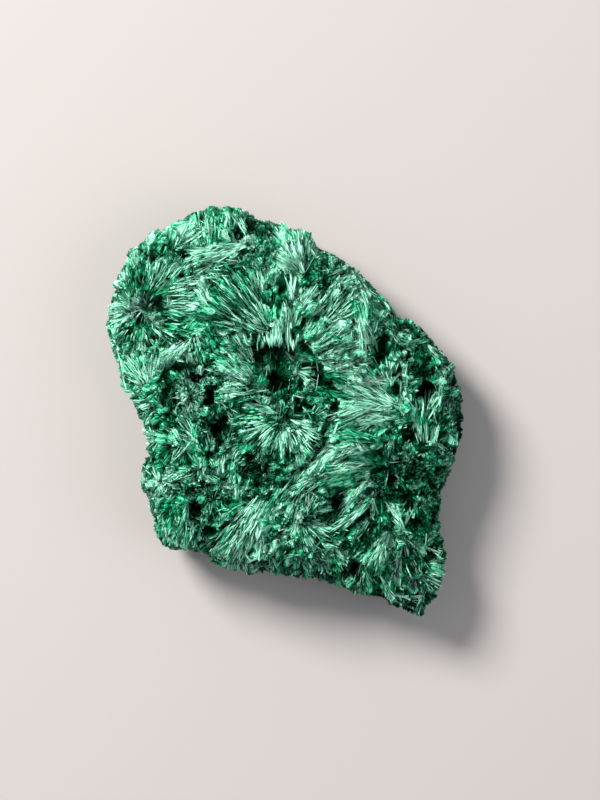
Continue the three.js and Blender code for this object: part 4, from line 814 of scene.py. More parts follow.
def shape_share(x, y, cx, cy, half_width, half_height, turn):
    """From 1 in the middle of a turned oval to 0 outside it."""
    a = math.radians(turn)
    dx = x - cx
    dy = y - cy
    across = (dx * math.cos(a) + dy * math.sin(a)) / half_width
    along = (dy * math.cos(a) - dx * math.sin(a)) / half_height
    return 1 - smoothstep(np.hypot(across, along), 0.6, 1.2)


def shaken(x, y, amount, seed):
    """The same places, moved a little so that no edge drawn with them is smooth."""
    flat = np.stack([x, y, x * 0], 1)
    dx, dy = (value_noise(flat, 0.8, s) + 0.45 * value_noise(flat, 0.35, s + 2) for s in (seed, seed + 1))
    return x + amount * dx, y + amount * dy


def hollowness(x, y):
    """From 0 on open ground to 1 in the middle of a hollow or cleft."""
    x, y = shaken(x, y, HOLLOWS_SHAKEN, 91)
    dark = np.zeros(len(x))
    for *oval, depth in HOLLOWS:
        dark = np.maximum(dark, depth * shape_share(x, y, *oval))
    for x1, y1, x2, y2, half_width in CLEFTS:
        run_x = x2 - x1
        run_y = y2 - y1
        share = np.clip(((x - x1) * run_x + (y - y1) * run_y) / (run_x**2 + run_y**2), 0, 1)
        away = np.hypot(x - x1 - share * run_x, y - y1 - share * run_y)
        dark = np.maximum(dark, CLEFT_DEPTH_AND_SHADE * (1 - smoothstep(away / half_width, 0.3, 1.3)))
    return dark


def ground_calm(x, y):
    """1 on silky ground, 0 elsewhere."""
    calm = np.zeros(len(x))
    x, y = shaken(x, y, CALM_SHAKEN, 131)
    for oval in CALM:
        calm = np.maximum(calm, shape_share(x, y, *oval))
    return calm


def brokenness(x, y, points):
    """From 0 where fibres lie close and silky to 1 where they stand in bundles with gaps."""
    patchy = smoothstep(value_noise(points, 2.6, 55), -0.5, 0.4)
    return (1 - 0.8 * ground_calm(x, y)) * (0.45 + 0.55 * patchy)


def patch_colours(x, y):
    """What the patches do at each point: change of tone, share of emerald, share of dusty."""
    x, y = shaken(x, y, PATCHES_SHAKEN, 111)
    change, emerald, dusty = np.zeros((3, len(x)))
    for *oval, tone, clear, grey in PATCHES:
        share = shape_share(x, y, *oval)
        change = change + tone * share
        emerald = np.maximum(emerald, clear * share)
        dusty = np.maximum(dusty, grey * share)
    return change, emerald, dusty


def from_apex(x, y, cx, cy, heading, back=0.0):
    """The way out from a spray's start, or from a place behind it, and the turn from its heading."""
    dx = x - cx + back * np.cos(heading)
    dy = y - cy + back * np.sin(heading)
    turn = np.arctan2(dy, dx) - heading
    return np.hypot(dx, dy), np.arctan2(np.sin(turn), np.cos(turn))


def face_field(x, y):
    """The spray that holds each point, how far outside every spray it is, and how near a seam."""
    best = np.zeros(len(x))
    second = np.zeros(len(x))
    owner = np.full(len(x), -1)
    spare = np.full(len(x), FAR)
    spare_owner = np.zeros(len(x), dtype=int)
    for index, (cx, cy, heading, half, reach, lift, _tone, _grain) in enumerate(SPRAYS):
        out, angle = from_apex(x, y, cx, cy, heading)
        inside = 1 - smoothstep(np.abs(angle) / half, 0.92, 1.1)
        wobble = value_noise(np.stack([angle * reach, np.full(len(x), index * 7.0), out * 0], 1), 0.7, 5)
        ended = 1 - smoothstep(out / (reach * (1 + 0.12 * wobble)), 0.97, 1.09)
        started = smoothstep(out / reach, 0.0, 0.3)
        value = inside * started * ended * lift * (0.35 + 0.65 * np.minimum(out / reach, 1))
        wins = value > best
        second = np.where(wins, best, np.maximum(second, value))
        best = np.where(wins, value, best)
        owner = np.where(wins, index, owner)
        beyond = np.hypot(np.maximum(out - reach, 0), np.maximum(np.abs(angle) - half, 0) * out)
        closer = beyond < spare
        spare = np.where(closer, beyond, spare)
        spare_owner = np.where(closer, index, spare_owner)
    loose = owner < 0
    stray = np.where(loose, smoothstep(spare, 0.0, 2.4), 0.0)
    seam = 1 - smoothstep(best - second, 0.02, 0.30)
    return np.where(loose, spare_owner, owner), stray, seam


def add_small_sprays(tries):
    """Small fans that cross the large ones, fewest on silky ground."""
    x = rng.uniform(-19.5, 19.5, tries)
    y = rng.uniform(-22.0, 22.0, tries)
    owner, _stray, _seam = face_field(x, y)
    start_x, start_y, heading, _half, _reach, _lift, held_tone, grain = np.array(SPRAYS)[owner].T
    _out, angle = from_apex(x, y, start_x, start_y, heading)
    calm = ground_calm(x, y)
    turned = np.degrees(heading + angle) + rng.normal(0, 1, tries) * (34 - 22 * calm)
    half = rng.uniform(13, 30, tries)
    reach = rng.uniform(1.2, 2.8, tries)
    lift = rng.uniform(0.9, 1.6, tries)
    tone = held_tone + rng.normal(0, 0.13, tries)
    wanted = rng.uniform(size=tries) > 0.55 * calm
    for row in np.stack([x, y, turned, half, reach, lift, tone, grain * 0.6], 1)[wanted]:
        spray(*row)


add_small_sprays(SMALL_SPRAYS)
SPRAY_ROWS = np.array(SPRAYS)
MIDWAY = 0.6 * SPRAY_ROWS[:, 4]
MIDWAY_X = SPRAY_ROWS[:, 0] + MIDWAY * np.cos(SPRAY_ROWS[:, 2])
MIDWAY_Y = SPRAY_ROWS[:, 1] + MIDWAY * np.sin(SPRAY_ROWS[:, 2])
SILK = ground_calm(MIDWAY_X, MIDWAY_Y)

# Sides and back: sprays round scattered centres


def scattered_centres(points, normals, count, seed):
    """Places on the sides and back, and the tone of the spray round each."""
    pick = np.random.default_rng(seed)
    low = np.where(normals[:, 2] < FACE_TILT)[0]
    chosen = low[pick.permutation(len(low))[:count]]
    return points[chosen], pick.uniform(0.35, 0.72, count)


def along_surface(ways, normals):
    """The part of each way that runs along the surface."""
    return unit(ways - normals * np.sum(ways * normals, axis=1, keepdims=True))


def side_field(points, normals, centres, tones):
    """Direction away from the nearest centre, distance from it, its tone and its number."""
    gap = np.full(len(points), FAR)
    which = np.zeros(len(points), dtype=int)
    bent = points + 0.6 * np.stack([value_noise(points, 1.9, seed) for seed in (11, 12, 13)], 1)
    for number, centre in enumerate(centres):
        away = np.linalg.norm(bent - centre, axis=1)
        near = away < gap
        gap = np.where(near, away, gap)
        which = np.where(near, number, which)
    return along_surface(points - centres[which], normals), gap, tones[which], which


# The body: a copy of the solid, divided and roughened along its fibres


def tangent_axes(normals):
    """Two directions along the surface, at a right angle to each other."""
    side = unit(np.cross(normals, np.tile([0.31, 0.93, 0.17], (len(normals), 1))))
    return side, np.cross(normals, side)


def waved(points, place, seed):
    """One coordinate, moved in soft waves so that no seam between sprays is straight."""
    flat = points * np.array([1.0, 1.0, 0.0])
    return place + 0.30 * value_noise(flat, 1.1, seed) + 0.12 * value_noise(flat, 0.45, seed + 2)


def fibre_frame(points, normals):
    """What the fibres do at each point of the slab, as named columns."""
    x = points[:, 0] - SHIFT_X
    y = points[:, 1] - SHIFT_Y
    owner, stray, seam = face_field(waved(points, x, 95), waved(points, y, 96))
    held = normals[:, 2] > FACE_TILT
    start_x, start_y, middle, half, reach, lift, own_tone, own_grain = SPRAY_ROWS[owner].T
    silk = np.where(held, SILK[owner], 0.0)
    narrow = half < WIDE_SPRAY
    back = np.where(narrow, FIBRE_START * reach, 0.0)
    out, angle = from_apex(x, y, start_x, start_y, middle, back)
    heading = middle + angle
    flat = np.stack([np.cos(heading), np.sin(heading), np.zeros(len(x))], 1)
    side_way, gap, side_tone, which = side_field(points, normals, CENTRES, CENTRE_TONES)
    side, top = tangent_axes(normals)
    turn = np.arctan2(np.sum(side_way * side, axis=1), np.sum(side_way * top, axis=1))
    grain = np.where(held, np.maximum(own_grain, 0.6 * stray), 0.15)
    progress = np.clip((out - back) / reach, 0.0, 1.1)
    fan = np.where(held & narrow, 1 - 0.7 * grain, 0.0)
    tone = np.where(held, own_tone * (1 - 0.2 * stray), side_tone)
    tone = tone + fan * TIP_BRIGHTENS * (progress - 0.6)
    change, emerald, dusty = patch_colours(x, y)
    # Seams between sprays are sunk a little and given painted shade, as shallow hollows
    seam_sink_and_shade = np.where(held, seam, 0.5) * smoothstep(value_noise(points, 0.8, 61), -0.05, 0.5)
    return {
        "way": np.where(held[:, None], along_surface(flat, normals), side_way),
        "across": np.where(held, angle * reach * 0.8 + owner * 9.0, turn * 2.6 + which * 9.0),
        "along": np.where(held, out, gap) * (1 - 0.5 * silk),
        "room": np.where(held, reach + back - out, SIDE_REACH - gap),
        "silk": silk,
        "tone": tone + np.where(held, change, 0.0),
        "grain": np.maximum(grain, np.where(held, 0.85 * dusty, 0.0)),
        "hollow": np.maximum(np.where(held, hollowness(x, y), 0.0), 0.7 * seam_sink_and_shade),
        "rise": fan * lift * TIP_RISES * progress**2,
        "broken": np.where(held, brokenness(x, y, points), 0.5),
        "emerald": np.where(held, emerald, 0.0),
        "dusty": np.where(held, dusty, 0.0),
    }


def long_cells(across, along, width, length, seed):
    """Long cells: random numbers for each, the way to the edge and the place in the cell in mm."""
    u = across / width
    v = along / length
    column = np.floor(u).astype(np.int64)
    row = np.floor(v).astype(np.int64)
    zero = np.zeros(len(u), dtype=np.int64)
    near, next_near = np.full((2, len(u)), FAR)
    pick = np.zeros((3, len(u)))
    place_u, place_v = np.zeros((2, len(u)))
    for i in (-1, 0, 1):
        for j in (-1, 0, 1):
            middle_u = column + i + lattice(column + i, row + j, zero, seed)
            middle_v = row + j + lattice(column + i, row + j, zero + 1, seed)
            gap = np.hypot(u - middle_u, v - middle_v)
            closer = gap < near
            next_near = np.where(closer, near, np.minimum(next_near, gap))
            near = np.where(closer, gap, near)
            for k in range(3):
                chance = lattice(column + i, row + j, zero + 2 + k, seed)
                pick[k] = np.where(closer, chance, pick[k])
            place_u = np.where(closer, u - middle_u, place_u)
            place_v = np.where(closer, v - middle_v, place_v)
    return pick, next_near - near, place_u * width, place_v * length


def turn_bundles(field):
    """Fibres lie in bundles, each turned a little its own way, far more where they are granular."""
    across = field["across"]
    along = field["along"]
    broken = field["broken"]
    chance, edge, du, dv = long_cells(across, along, BUNDLE_WIDTH, BUNDLE_LENGTH, 101)
    most = BUNDLE_SWING * (0.3 + broken) + BUNDLE_SWING_IN_GRAIN * field["grain"]
    swing = np.radians((chance[2] - 0.5) * 2 * most)
    limit = BUNDLES_SUNK * (0.1 + 1.3 * broken)
    turned_u = du * np.cos(swing) + dv * np.sin(swing)
    turned_v = dv * np.cos(swing) - du * np.sin(swing)
    return {
        "across": across - du + turned_u,
        "along": along - dv + turned_v,
        "swing": swing,
        "height": (chance[0] - 0.5 + 0.25 * dv) * (0.35 + broken),
        "shade": (chance[1] - 0.5) * (0.5 + 0.7 * broken),
        "hue": chance[2],
        "sunk": 1 - smoothstep(chance[0] - limit, 0.0, 0.03),
        "gap": (1 - smoothstep(edge, 0.0, 0.22)) * (0.2 + broken),
    }


def kept_between(tone):
    """Tones drawn in softly, so that fine light and dark still shows where the tables are extreme."""
    over = np.maximum(tone - PALEST, 0.0)
    under = np.maximum(DARKEST - tone, 0.0)
    raised = 0.16 * (1 - np.exp(-over / 0.16))
    return np.clip(tone, DARKEST, PALEST) + raised - 0.1 * (1 - np.exp(-under / 0.1))


def drawn_in(tone):
    return TONE_MIDDLE + TONE_SPREAD * (tone - 0.5)


def bundle_tone(field, bundle):
    """The tone of the tables with what each bundle adds to it, and painted shade on sunk bundles."""
    tone = kept_between(drawn_in(field["tone"]))
    return tone + BUNDLE_TONES * bundle["shade"] - SUNK_PAINTED_SHADE * bundle["sunk"]


def rows_of(mesh, key):
    """The places or normals of a mesh's vertices, one row each."""
    values = np.empty(len(mesh.vertices) * 3)
    mesh.vertices.foreach_get(key, values)
    return values.reshape(-1, 3)


def build_body():
    """The solid's own surface in small triangles, finest on the crystal face."""
    work = bmesh.new()
    work.from_mesh(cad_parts["malachite"].data)
    bmesh.ops.remove_doubles(work, verts=work.verts, dist=2e-6)
    facing_up = [face for face in work.faces if face.normal.z > FACE_TILT]
    fine = {edge for face in facing_up for edge in face.edges}
    coarse = [edge for edge in work.edges if edge not in fine]
    bmesh.ops.subdivide_edges(work, edges=list(fine), cuts=FACE_CUTS, use_grid_fill=True)
    bmesh.ops.subdivide_edges(work, edges=coarse, cuts=SIDE_CUTS, use_grid_fill=True)
    bmesh.ops.triangulate(work, faces=work.faces[:])
    for _ in range(2):
        bmesh.ops.smooth_vert(
            work, verts=work.verts[:], factor=0.35, use_axis_x=True, use_axis_y=True, use_axis_z=True
        )
    mesh = bpy.data.meshes.new("malachite_body")
    work.to_mesh(mesh)
    work.free()
    return mesh, rows_of(mesh, "co") / MM, rows_of(mesh, "normal")


def roughen_body(mesh, points, normals):
    """Bundles, splinters, grains and hollows in relief, and what the material reads."""
    field = fibre_frame(points, normals)
    grain = field["grain"]
    hollow = field["hollow"]
    bundle = turn_bundles(field)
    across = bundle["across"]
    along = bundle["along"]
    thin, thin_edge, _across, thin_place = long_cells(across, along, SPLINTER_WIDTH, SPLINTER_LENGTH, 102)
    relief = BUNDLE_RELIEF * (bundle["height"] - 0.5 * bundle["gap"] - 0.6 * bundle["sunk"])
    relief = relief + SPLINTER_RELIEF * (thin[0] - 0.5 + 0.35 * thin_place)
    relief = relief - SPLINTER_RELIEF * 0.5 * (1 - smoothstep(thin_edge, 0.0, 0.3))
    lumps = 0.26 * np.abs(value_noise(points, 0.7, 8)) + 0.14 * value_noise(points, 0.34, 9)
    relief = relief * (1 - 0.4 * grain) + lumps * grain
    relief = relief + field["rise"] - HOLLOW_DEPTH * hollow - BODY_SUNK
    seat = smoothstep(points[:, 2], 0.02, 0.5)
    moved = points + normals * (relief * seat)[:, None]
    moved[:, 2] = lowered(np.maximum(moved[:, 2], 0.0))
    # Painted shade along the edges of bundles, where they are sunk apart
    tone = bundle_tone(field, bundle) - 0.16 * bundle["gap"]
    mesh.vertices.foreach_set("co", (moved * MM).ravel())
    # The hollow column tells the material where to paint shade
    for name, columns in (
        ("fibre", (across, along, grain)),
        ("tone", (tone, hollow, grain)),
        ("sort", (field["emerald"], field["dusty"], bundle["hue"])),
    ):
        values = np.stack(columns, 1).ravel()
        mesh.attributes.new(name, "FLOAT_VECTOR", "POINT").data.foreach_set("vector", values)
    mesh.update()
    return moved


# Node helpers


def feed(socket, value):
    """Link a socket to another node's output, or set its own value."""
    if isinstance(value, bpy.types.NodeSocket):
        socket.id_data.links.new(value, socket)
    else:
        socket.default_value = value


def node(tree, kind, inputs=None, **settings):
    """A new node with its settings and what goes into its sockets."""
    made = tree.nodes.new(kind)
    for key, value in settings.items():
        setattr(made, key, value)
    for key, value in (inputs or {}).items():
        feed(made.inputs[key], value)
    return made


def math_node(tree, operation, *values):
    return node(tree, "ShaderNodeMath", dict(enumerate(values)), operation=operation).outputs[0]


def weighed(tree, total, *parts):
    """The total with a share of each part added to it."""
    for value, share in parts:
        total = math_node(tree, "MULTIPLY_ADD", value, share, total)
    return total


def combine(tree, *values):
    return node(tree, "ShaderNodeCombineXYZ", dict(enumerate(values))).outputs[0]


def split(tree, vector):
    return node(tree, "ShaderNodeSeparateXYZ", {0: vector}).outputs


def ramp_node(tree, stops, value):
    made = node(tree, "ShaderNodeValToRGB", {"Fac": value})
    elements = made.color_ramp.elements
    while len(elements) < len(stops):
        elements.new(0.5)
    for element, (place, colour) in zip(elements, stops):
        element.position = place
        element.color = (*colour, 1.0)
    return made.outputs["Color"]


def remap(tree, value, low, high, to_low, to_high, smooth=False):
    """The value, moved from one range to another."""
    ranges = {"Value": value, "From Min": low, "From Max": high, "To Min": to_low, "To Max": to_high}
    kind = "SMOOTHSTEP" if smooth else "LINEAR"
    return node(tree, "ShaderNodeMapRange", ranges, interpolation_type=kind).outputs["Result"]


def stretched(tree, vector, across, along):
    scale = (1 / across, 1 / along, 1.0)
    return node(tree, "ShaderNodeMapping", {"Scale": scale, "Vector": vector}).outputs["Vector"]


def cells(tree, vector, feature="F1", dimensions="2D", scale=1.0):
    inputs = {"Scale": scale, "Vector": vector}
    kinds = {"voronoi_dimensions": dimensions, "feature": feature}
    return node(tree, "ShaderNodeTexVoronoi", inputs, **kinds).outputs


def noise(tree, vector, scale, detail=3.0, rough=0.6, dimensions="3D"):
    inputs = {"Scale": scale, "Detail": detail, "Roughness": rough, "Vector": vector}
    return node(tree, "ShaderNodeTexNoise", inputs, noise_dimensions=dimensions).outputs["Fac"]


def blend(tree, share, a, b):
    inputs = {"Factor": share, "A": a, "B": b}
    return node(tree, "ShaderNodeMix", inputs, data_type="FLOAT").outputs["Result"]


def carried(tree, name):
    """What the body's mesh carries under that name."""
    return node(tree, "ShaderNodeAttribute", attribute_name=name).outputs["Vector"]


# Colours from dark to pale of three sorts of fibre: silky mint, clear emerald and dusty
STOPS = (0.0, 0.20, 0.42, 0.60, 0.78, 1.0)
MINT_TONES = (
    (0.000, 0.003, 0.001), (0.001, 0.028, 0.011), (0.020, 0.130, 0.074),
    (0.092, 0.320, 0.208), (0.230, 0.640, 0.440), (0.460, 0.900, 0.690),
)
EMERALD_TONES = (
    (0.000, 0.003, 0.001), (0.000, 0.030, 0.009), (0.000, 0.150, 0.055),
    (0.004, 0.330, 0.140), (0.045, 0.600, 0.310), (0.280, 0.880, 0.560),
)
DUSTY_TONES = (
    (0.002, 0.006, 0.004), (0.010, 0.028, 0.021), (0.035, 0.105, 0.078),
    (0.095, 0.235, 0.178), (0.260, 0.500, 0.400), (0.430, 0.680, 0.570),
)
SORTS = [list(zip(STOPS, tones)) for tones in (MINT_TONES, EMERALD_TONES, DUSTY_TONES)]
SHEEN_COLOUR = (0.30, 1.0, 0.68, 1.0)
GLASSY = {"IOR": 1.6, "Specular Tint": SHEEN_COLOUR}


def new_material(name, settings):
    """A material, its node tree and its shader with those values."""
    material = bpy.data.materials.new(name)
    material.use_nodes = True
    shader = material.node_tree.nodes["Principled BSDF"]
    for key, value in settings.items():
        feed(shader.inputs[key], value)
    return material, material.node_tree, shader.inputs


def fibre_material():
    """Silky fibres: the map's U is the sort and tone, V the place from root to tip, where painted shade
    darkens the root.
    """
    settings = {**GLASSY, "Roughness": 0.5, "Specular IOR Level": 0.2}
    material, tree, shader = new_material("silky malachite fibre", settings)
    place = split(tree, node(tree, "ShaderNodeUVMap", uv_map="OFBake").outputs["UV"])
    stops = []
    for number, tones in enumerate(SORTS):
        stops += [((number + 0.005 + 0.99 * stop) / len(SORTS), colour) for stop, colour in tones]
    colour = ramp_node(tree, stops, place["X"])
    # Darker toward the root as painted shade, and up to 1.12 times paler at the tip
    painted_root_shade = remap(tree, place["Y"], 0.0, 0.95, 0.35, 1.12, True)
    shaded = node(tree, "ShaderNodeVectorMath", {"Scale": painted_root_shade, 0: colour}, operation="SCALE")
    feed(shader["Base Color"], shaded.outputs[0])
    return material


def sort_ramps(tree, tone, shares):
    """Blend the three sorts of malachite by the shares of emerald and of dusty."""
    colour, *others = [ramp_node(tree, tones, tone) for tones in SORTS]
    for share, other in zip(shares, others):
        inputs = {"Factor": share, 6: colour, 7: other}
        colour = node(tree, "ShaderNodeMix", inputs, data_type="RGBA").outputs[2]
    return colour


def mass_patterns(tree, grain, place):
    """The patterns of the mass by name: splinters along the fibres, crumbs where it is granular."""
    fibre = carried(tree, "fibre")
    splinter = stretched(tree, fibre, 0.12, 1.5)
    picked = split(tree, cells(tree, splinter)["Color"])
    groove = cells(tree, splinter, "DISTANCE_TO_EDGE")["Distance"]
    crumb = split(tree, cells(tree, place, "F1", "3D", CRUMBS)["Color"])
    crumb_gap = cells(tree, place, "DISTANCE_TO_EDGE", "3D", CRUMBS)["Distance"]
    return {
        "splinter": picked,
        "crumb": crumb,
        "random": blend(tree, grain, picked["X"], crumb["X"]),
        "edge": blend(tree, grain, groove, crumb_gap),
        "streak": noise(tree, stretched(tree, fibre, 0.08, 1.1), 1.0, 4.0, 0.65, "2D"),
        "gap": noise(tree, stretched(tree, fibre, 0.34, 0.8), 1.0, 2.0, 0.6, "2D"),
        "broad": noise(tree, place, 420.0, 2.0),
    }


def mass_tone(tree, tone, hollow, seen):
    """The tone of the mass. Each pattern adds to it: its own range, then the range it becomes. The edge and
    gap patterns are painted shade in the grooves and gaps between splinters and crumbs.
    """
    for name, *ranges in (
        ("random", 0.0, 1.0, -0.26, 0.32),
        ("streak", 0.3, 0.7, -0.30, 0.30),
        ("broad", 0.3, 0.7, -0.10, 0.10),
        ("edge", 0.0, 0.16, -0.24, 0.0, True),
        ("gap", 0.30, 0.42, -0.30, 0.03, True),
    ):
        tone = math_node(tree, "ADD", tone, remap(tree, seen[name], *ranges))
    # Painted shade: hollows, clefts and seams darken the tone by up to three quarters
    return math_node(tree, "MULTIPLY", tone, math_node(tree, "MULTIPLY_ADD", hollow, -0.74, 1.0))


def mass_sorts(tree, tone, place, seen):
    """The shares of emerald and of dusty in the mass."""
    sorts = split(tree, carried(tree, "sort"))
    clear = ((seen["splinter"]["Y"], 0.22), (sorts["X"], 0.30), (sorts["Z"], 0.12), (tone, -0.14))
    emerald = weighed(tree, noise(tree, place, 330.0, 2.0), *clear)
    grey = ((sorts["Y"], 0.26), (seen["crumb"]["Y"], 0.24))
    dusty = weighed(tree, noise(tree, place, 700.0, 3.0), *grey)
    return remap(tree, emerald, 0.52, 0.68, 0.0, 1.0, True), remap(tree, dusty, 0.80, 0.90, 0.0, 0.85, True)


def mass_relief(tree, seen):
    """Splinters and crumbs with grooves between them, as bumps."""
    relief = math_node(tree, "MULTIPLY", seen["splinter"]["Z"], 0.9)
    relief = math_node(tree, "ADD", relief, remap(tree, seen["edge"], 0.0, 0.2, -0.9, 0.0, True))
    relief = weighed(tree, relief, (seen["streak"], 1.2))
    inputs = {"Strength": 0.9, "Distance": BUMP_HEIGHT, "Height": relief}
    return node(tree, "ShaderNodeBump", inputs).outputs["Normal"]


def body_material():
    """The mass under the tufts: splinters run along each spray, hollows get painted shade, nearly black."""
    material, tree, shader = new_material("malachite mass", GLASSY)
    base, hollow, grain = split(tree, carried(tree, "tone"))
    place = node(tree, "ShaderNodeTexCoord").outputs["Object"]
    seen = mass_patterns(tree, grain, place)
    tone = mass_tone(tree, base, hollow, seen)
    feed(shader["Base Color"], sort_ramps(tree, tone, mass_sorts(tree, tone, place, seen)))
    feed(shader["Specular IOR Level"], remap(tree, tone, 0.1, 0.8, 0.02, 0.40))
    feed(shader["Roughness"], remap(tree, seen["random"], 0.0, 1.0, 0.72, 0.36))
    feed(shader["Normal"], mass_relief(tree, seen))
    return material


# Fibre tufts


def named(tree, name, data_type="FLOAT"):
    made = node(tree, "GeometryNodeInputNamedAttribute", {"Name": name}, data_type=data_type)
    return made.outputs["Attribute"]


def store(tree, geometry, name, value, data_type="FLOAT", domain="POINT"):
    inputs = {"Name": name, "Geometry": geometry, "Value": value}
    kinds = {"data_type": data_type, "domain": domain}
    return node(tree, "GeometryNodeStoreNamedAttribute", inputs, **kinds).outputs["Geometry"]


def random_float(tree, low, high, seed, offset):
    inputs = {2: low, 3: high, "Seed": math_node(tree, "ADD", seed, offset)}
    return node(tree, "FunctionNodeRandomValue", inputs, data_type="FLOAT").outputs[1]


def planted(tree, points, shape, rotation, scale, choice):
    """The shape on every point; the choice says which of its instances goes there."""
    inputs = {"Points": points, "Instance": shape, "Rotation": rotation, "Scale": scale}
    return node(tree, "GeometryNodeInstanceOnPoints", {**inputs, **choice}).outputs[0]


def realized(tree, instances):
    return node(tree, "GeometryNodeRealizeInstances", {0: instances}).outputs[0]


def one_fibre(tree, given):
    """A three-sided fibre with a slanted end, which carries its height and the way round it."""
    inputs = {"Vertices": 3, "Side Segments": 1, "Fill Segments": 1, "Depth": 1.0}
    radii = {"Radius Bottom": 1.0, "Radius Top": given["Blunt end"]}
    fibre = node(tree, "GeometryNodeMeshCone", {**inputs, **radii}, fill_type="NGON")
    x, y, z = split(tree, node(tree, "GeometryNodeInputPosition").outputs[0])
    slant = math_node(tree, "MULTIPLY", math_node(tree, "MULTIPLY", x, z), given["Slant of the end"])
    inputs = {"Geometry": fibre.outputs["Mesh"], "Offset": combine(tree, 0.0, 0.0, slant)}
    shape = node(tree, "GeometryNodeSetPosition", inputs).outputs[0]
    for name, value in (("height", z), ("round_x", x), ("round_y", y)):
        shape = store(tree, shape, name, value)
    return shape


def tuft_kinds(tree, given):
    """Every kind of tuft as an instance: fibres side by side in a flat bundle."""
    seed = given["Seed"]
    fibres = given["Fibres in a tuft"]
    sideways = random_float(tree, -1.0, 1.0, seed, 1)
    x = math_node(tree, "MULTIPLY", sideways, given["Half width"])
    y = math_node(tree, "MULTIPLY", random_float(tree, -1.0, 1.0, seed, 2), given["Half depth"])
    z = random_float(tree, -0.02, 0.22, seed, 3)
    total = math_node(tree, "MULTIPLY", fibres, given["Kinds of tuft"])
    inputs = {"Count": total, "Position": combine(tree, x, y, z)}
    points = node(tree, "GeometryNodePoints", inputs).outputs[0]
    index = node(tree, "GeometryNodeInputIndex").outputs[0]
    kind = math_node(tree, "FLOOR", math_node(tree, "DIVIDE", index, fibres))
    points = store(tree, points, "kind", kind, "INT")
    points = store(tree, points, "shade", random_float(tree, -1.0, 1.0, seed, 4))
    lean = math_node(tree, "MULTIPLY", sideways, given["Splay"])
    lean = math_node(tree, "ADD", lean, random_float(tree, -0.04, 0.04, seed, 5))
    tip = random_float(tree, -0.05, 0.05, seed, 6)
    turn = combine(tree, tip, lean, random_float(tree, -0.7, 0.7, seed, 7))
    rotation = node(tree, "FunctionNodeEulerToRotation", {0: turn}).outputs[0]
    chance = math_node(tree, "POWER", random_float(tree, 0.0, 1.0, seed, 8), 2.5)
    broad = math_node(tree, "MULTIPLY_ADD", chance, 1.5, 0.75)
    broad = math_node(tree, "MULTIPLY", broad, given["Fibre radius"])
    thick = math_node(tree, "MULTIPLY", random_float(tree, 0.7, 1.2, seed, 10), given["Fibre radius"])
    size = combine(tree, broad, thick, random_float(tree, 0.45, 0.95, seed, 9))
    grown = realized(tree, planted(tree, points, one_fibre(tree, given), rotation, size, {}))
    inputs = {"Geometry": grown, "Group ID": named(tree, "kind", "INT")}
    return node(tree, "GeometryNodeSplitToInstances", inputs).outputs["Instances"]


def sown_tufts(tree, given):
    """One tuft on each point, aimed and sized as the point says."""
    most = math_node(tree, "SUBTRACT", given["Kinds of tuft"], 1)
    inputs = {4: 0, 5: most, "Seed": given["Seed"]}
    which = node(tree, "FunctionNodeRandomValue", inputs, data_type="INT").outputs[2]
    ways = {0: named(tree, "aim", "FLOAT_VECTOR"), 1: named(tree, "up", "FLOAT_VECTOR")}
    axes = {"primary_axis": "Z", "secondary_axis": "Y"}
    rotation = node(tree, "FunctionNodeAxesToRotation", ways, **axes).outputs[0]
    choice = {"Pick Instance": True, "Instance Index": which}
    size = named(tree, "size", "FLOAT_VECTOR")
    kinds = tuft_kinds(tree, given)
    return realized(tree, planted(tree, given["Geometry"], kinds, rotation, size, choice))


def tuft_map(tree, given):
    """The map that the material reads: U is sort and tone, V is height."""
    tone = weighed(tree, named(tree, "tone"), (named(tree, "shade"), 0.40), (named(tree, "round_y"), 0.008))
    tone = math_node(tree, "MINIMUM", math_node(tree, "MAXIMUM", tone, 0.03), 0.97)
    tone = math_node(tree, "ADD", tone, named(tree, "sort"))
    tone = math_node(tree, "DIVIDE", tone, len(SORTS))
    # V starts at the root shade, so the material paints shade toward the root
    root = given["Root shade"]
    rise = math_node(tree, "SUBTRACT", 0.94, root)
    high = math_node(tree, "MULTIPLY_ADD", named(tree, "height"), rise, root)
    return combine(tree, tone, weighed(tree, high, (named(tree, "round_x"), 0.02)), 0.0)


def tuft_tree():
    """Points that carry aim, up, size and tone become tufts of blunt three-sided fibres."""
    tree = bpy.data.node_groups.new("fibre tufts", "GeometryNodeTree")
    kinds = {"Geometry": "Geometry", **dict.fromkeys(TUFT_SIZES, "Float")}
    kinds.update({"Fibres in a tuft": "Int", "Kinds of tuft": "Int", "Seed": "Int", "Material": "Material"})
    for name, kind in kinds.items():
        tree.interface.new_socket(name=name, in_out="INPUT", socket_type="NodeSocket" + kind)
    tree.interface.new_socket(name="Geometry", in_out="OUTPUT", socket_type="NodeSocketGeometry")
    given = node(tree, "NodeGroupInput").outputs
    grown = store(tree, sown_tufts(tree, given), "OFBake", tuft_map(tree, given), "FLOAT2", "CORNER")
    for name in ("height", "round_x", "round_y", "kind", "shade", "tone", "sort", "aim", "up", "size"):
        inputs = {"Name": name, "Geometry": grown}
        grown = node(tree, "GeometryNodeRemoveAttribute", inputs).outputs["Geometry"]
    inputs = {"Geometry": grown, "Material": given["Material"]}
    node(tree, "NodeGroupOutput", {0: node(tree, "GeometryNodeSetMaterial", inputs).outputs[0]})
    return tree


def set_inputs(modifier, values):
    for item in modifier.node_group.interface.items_tree:
        if item.item_type == "SOCKET" and item.in_out == "INPUT" and item.name in values:
            modifier[item.identifier] = values[item.name]


def in_scene(name, data):
    """A new object in the scene."""
    made = bpy.data.objects.new(name, data)
    bpy.context.scene.collection.objects.link(made)
    return made


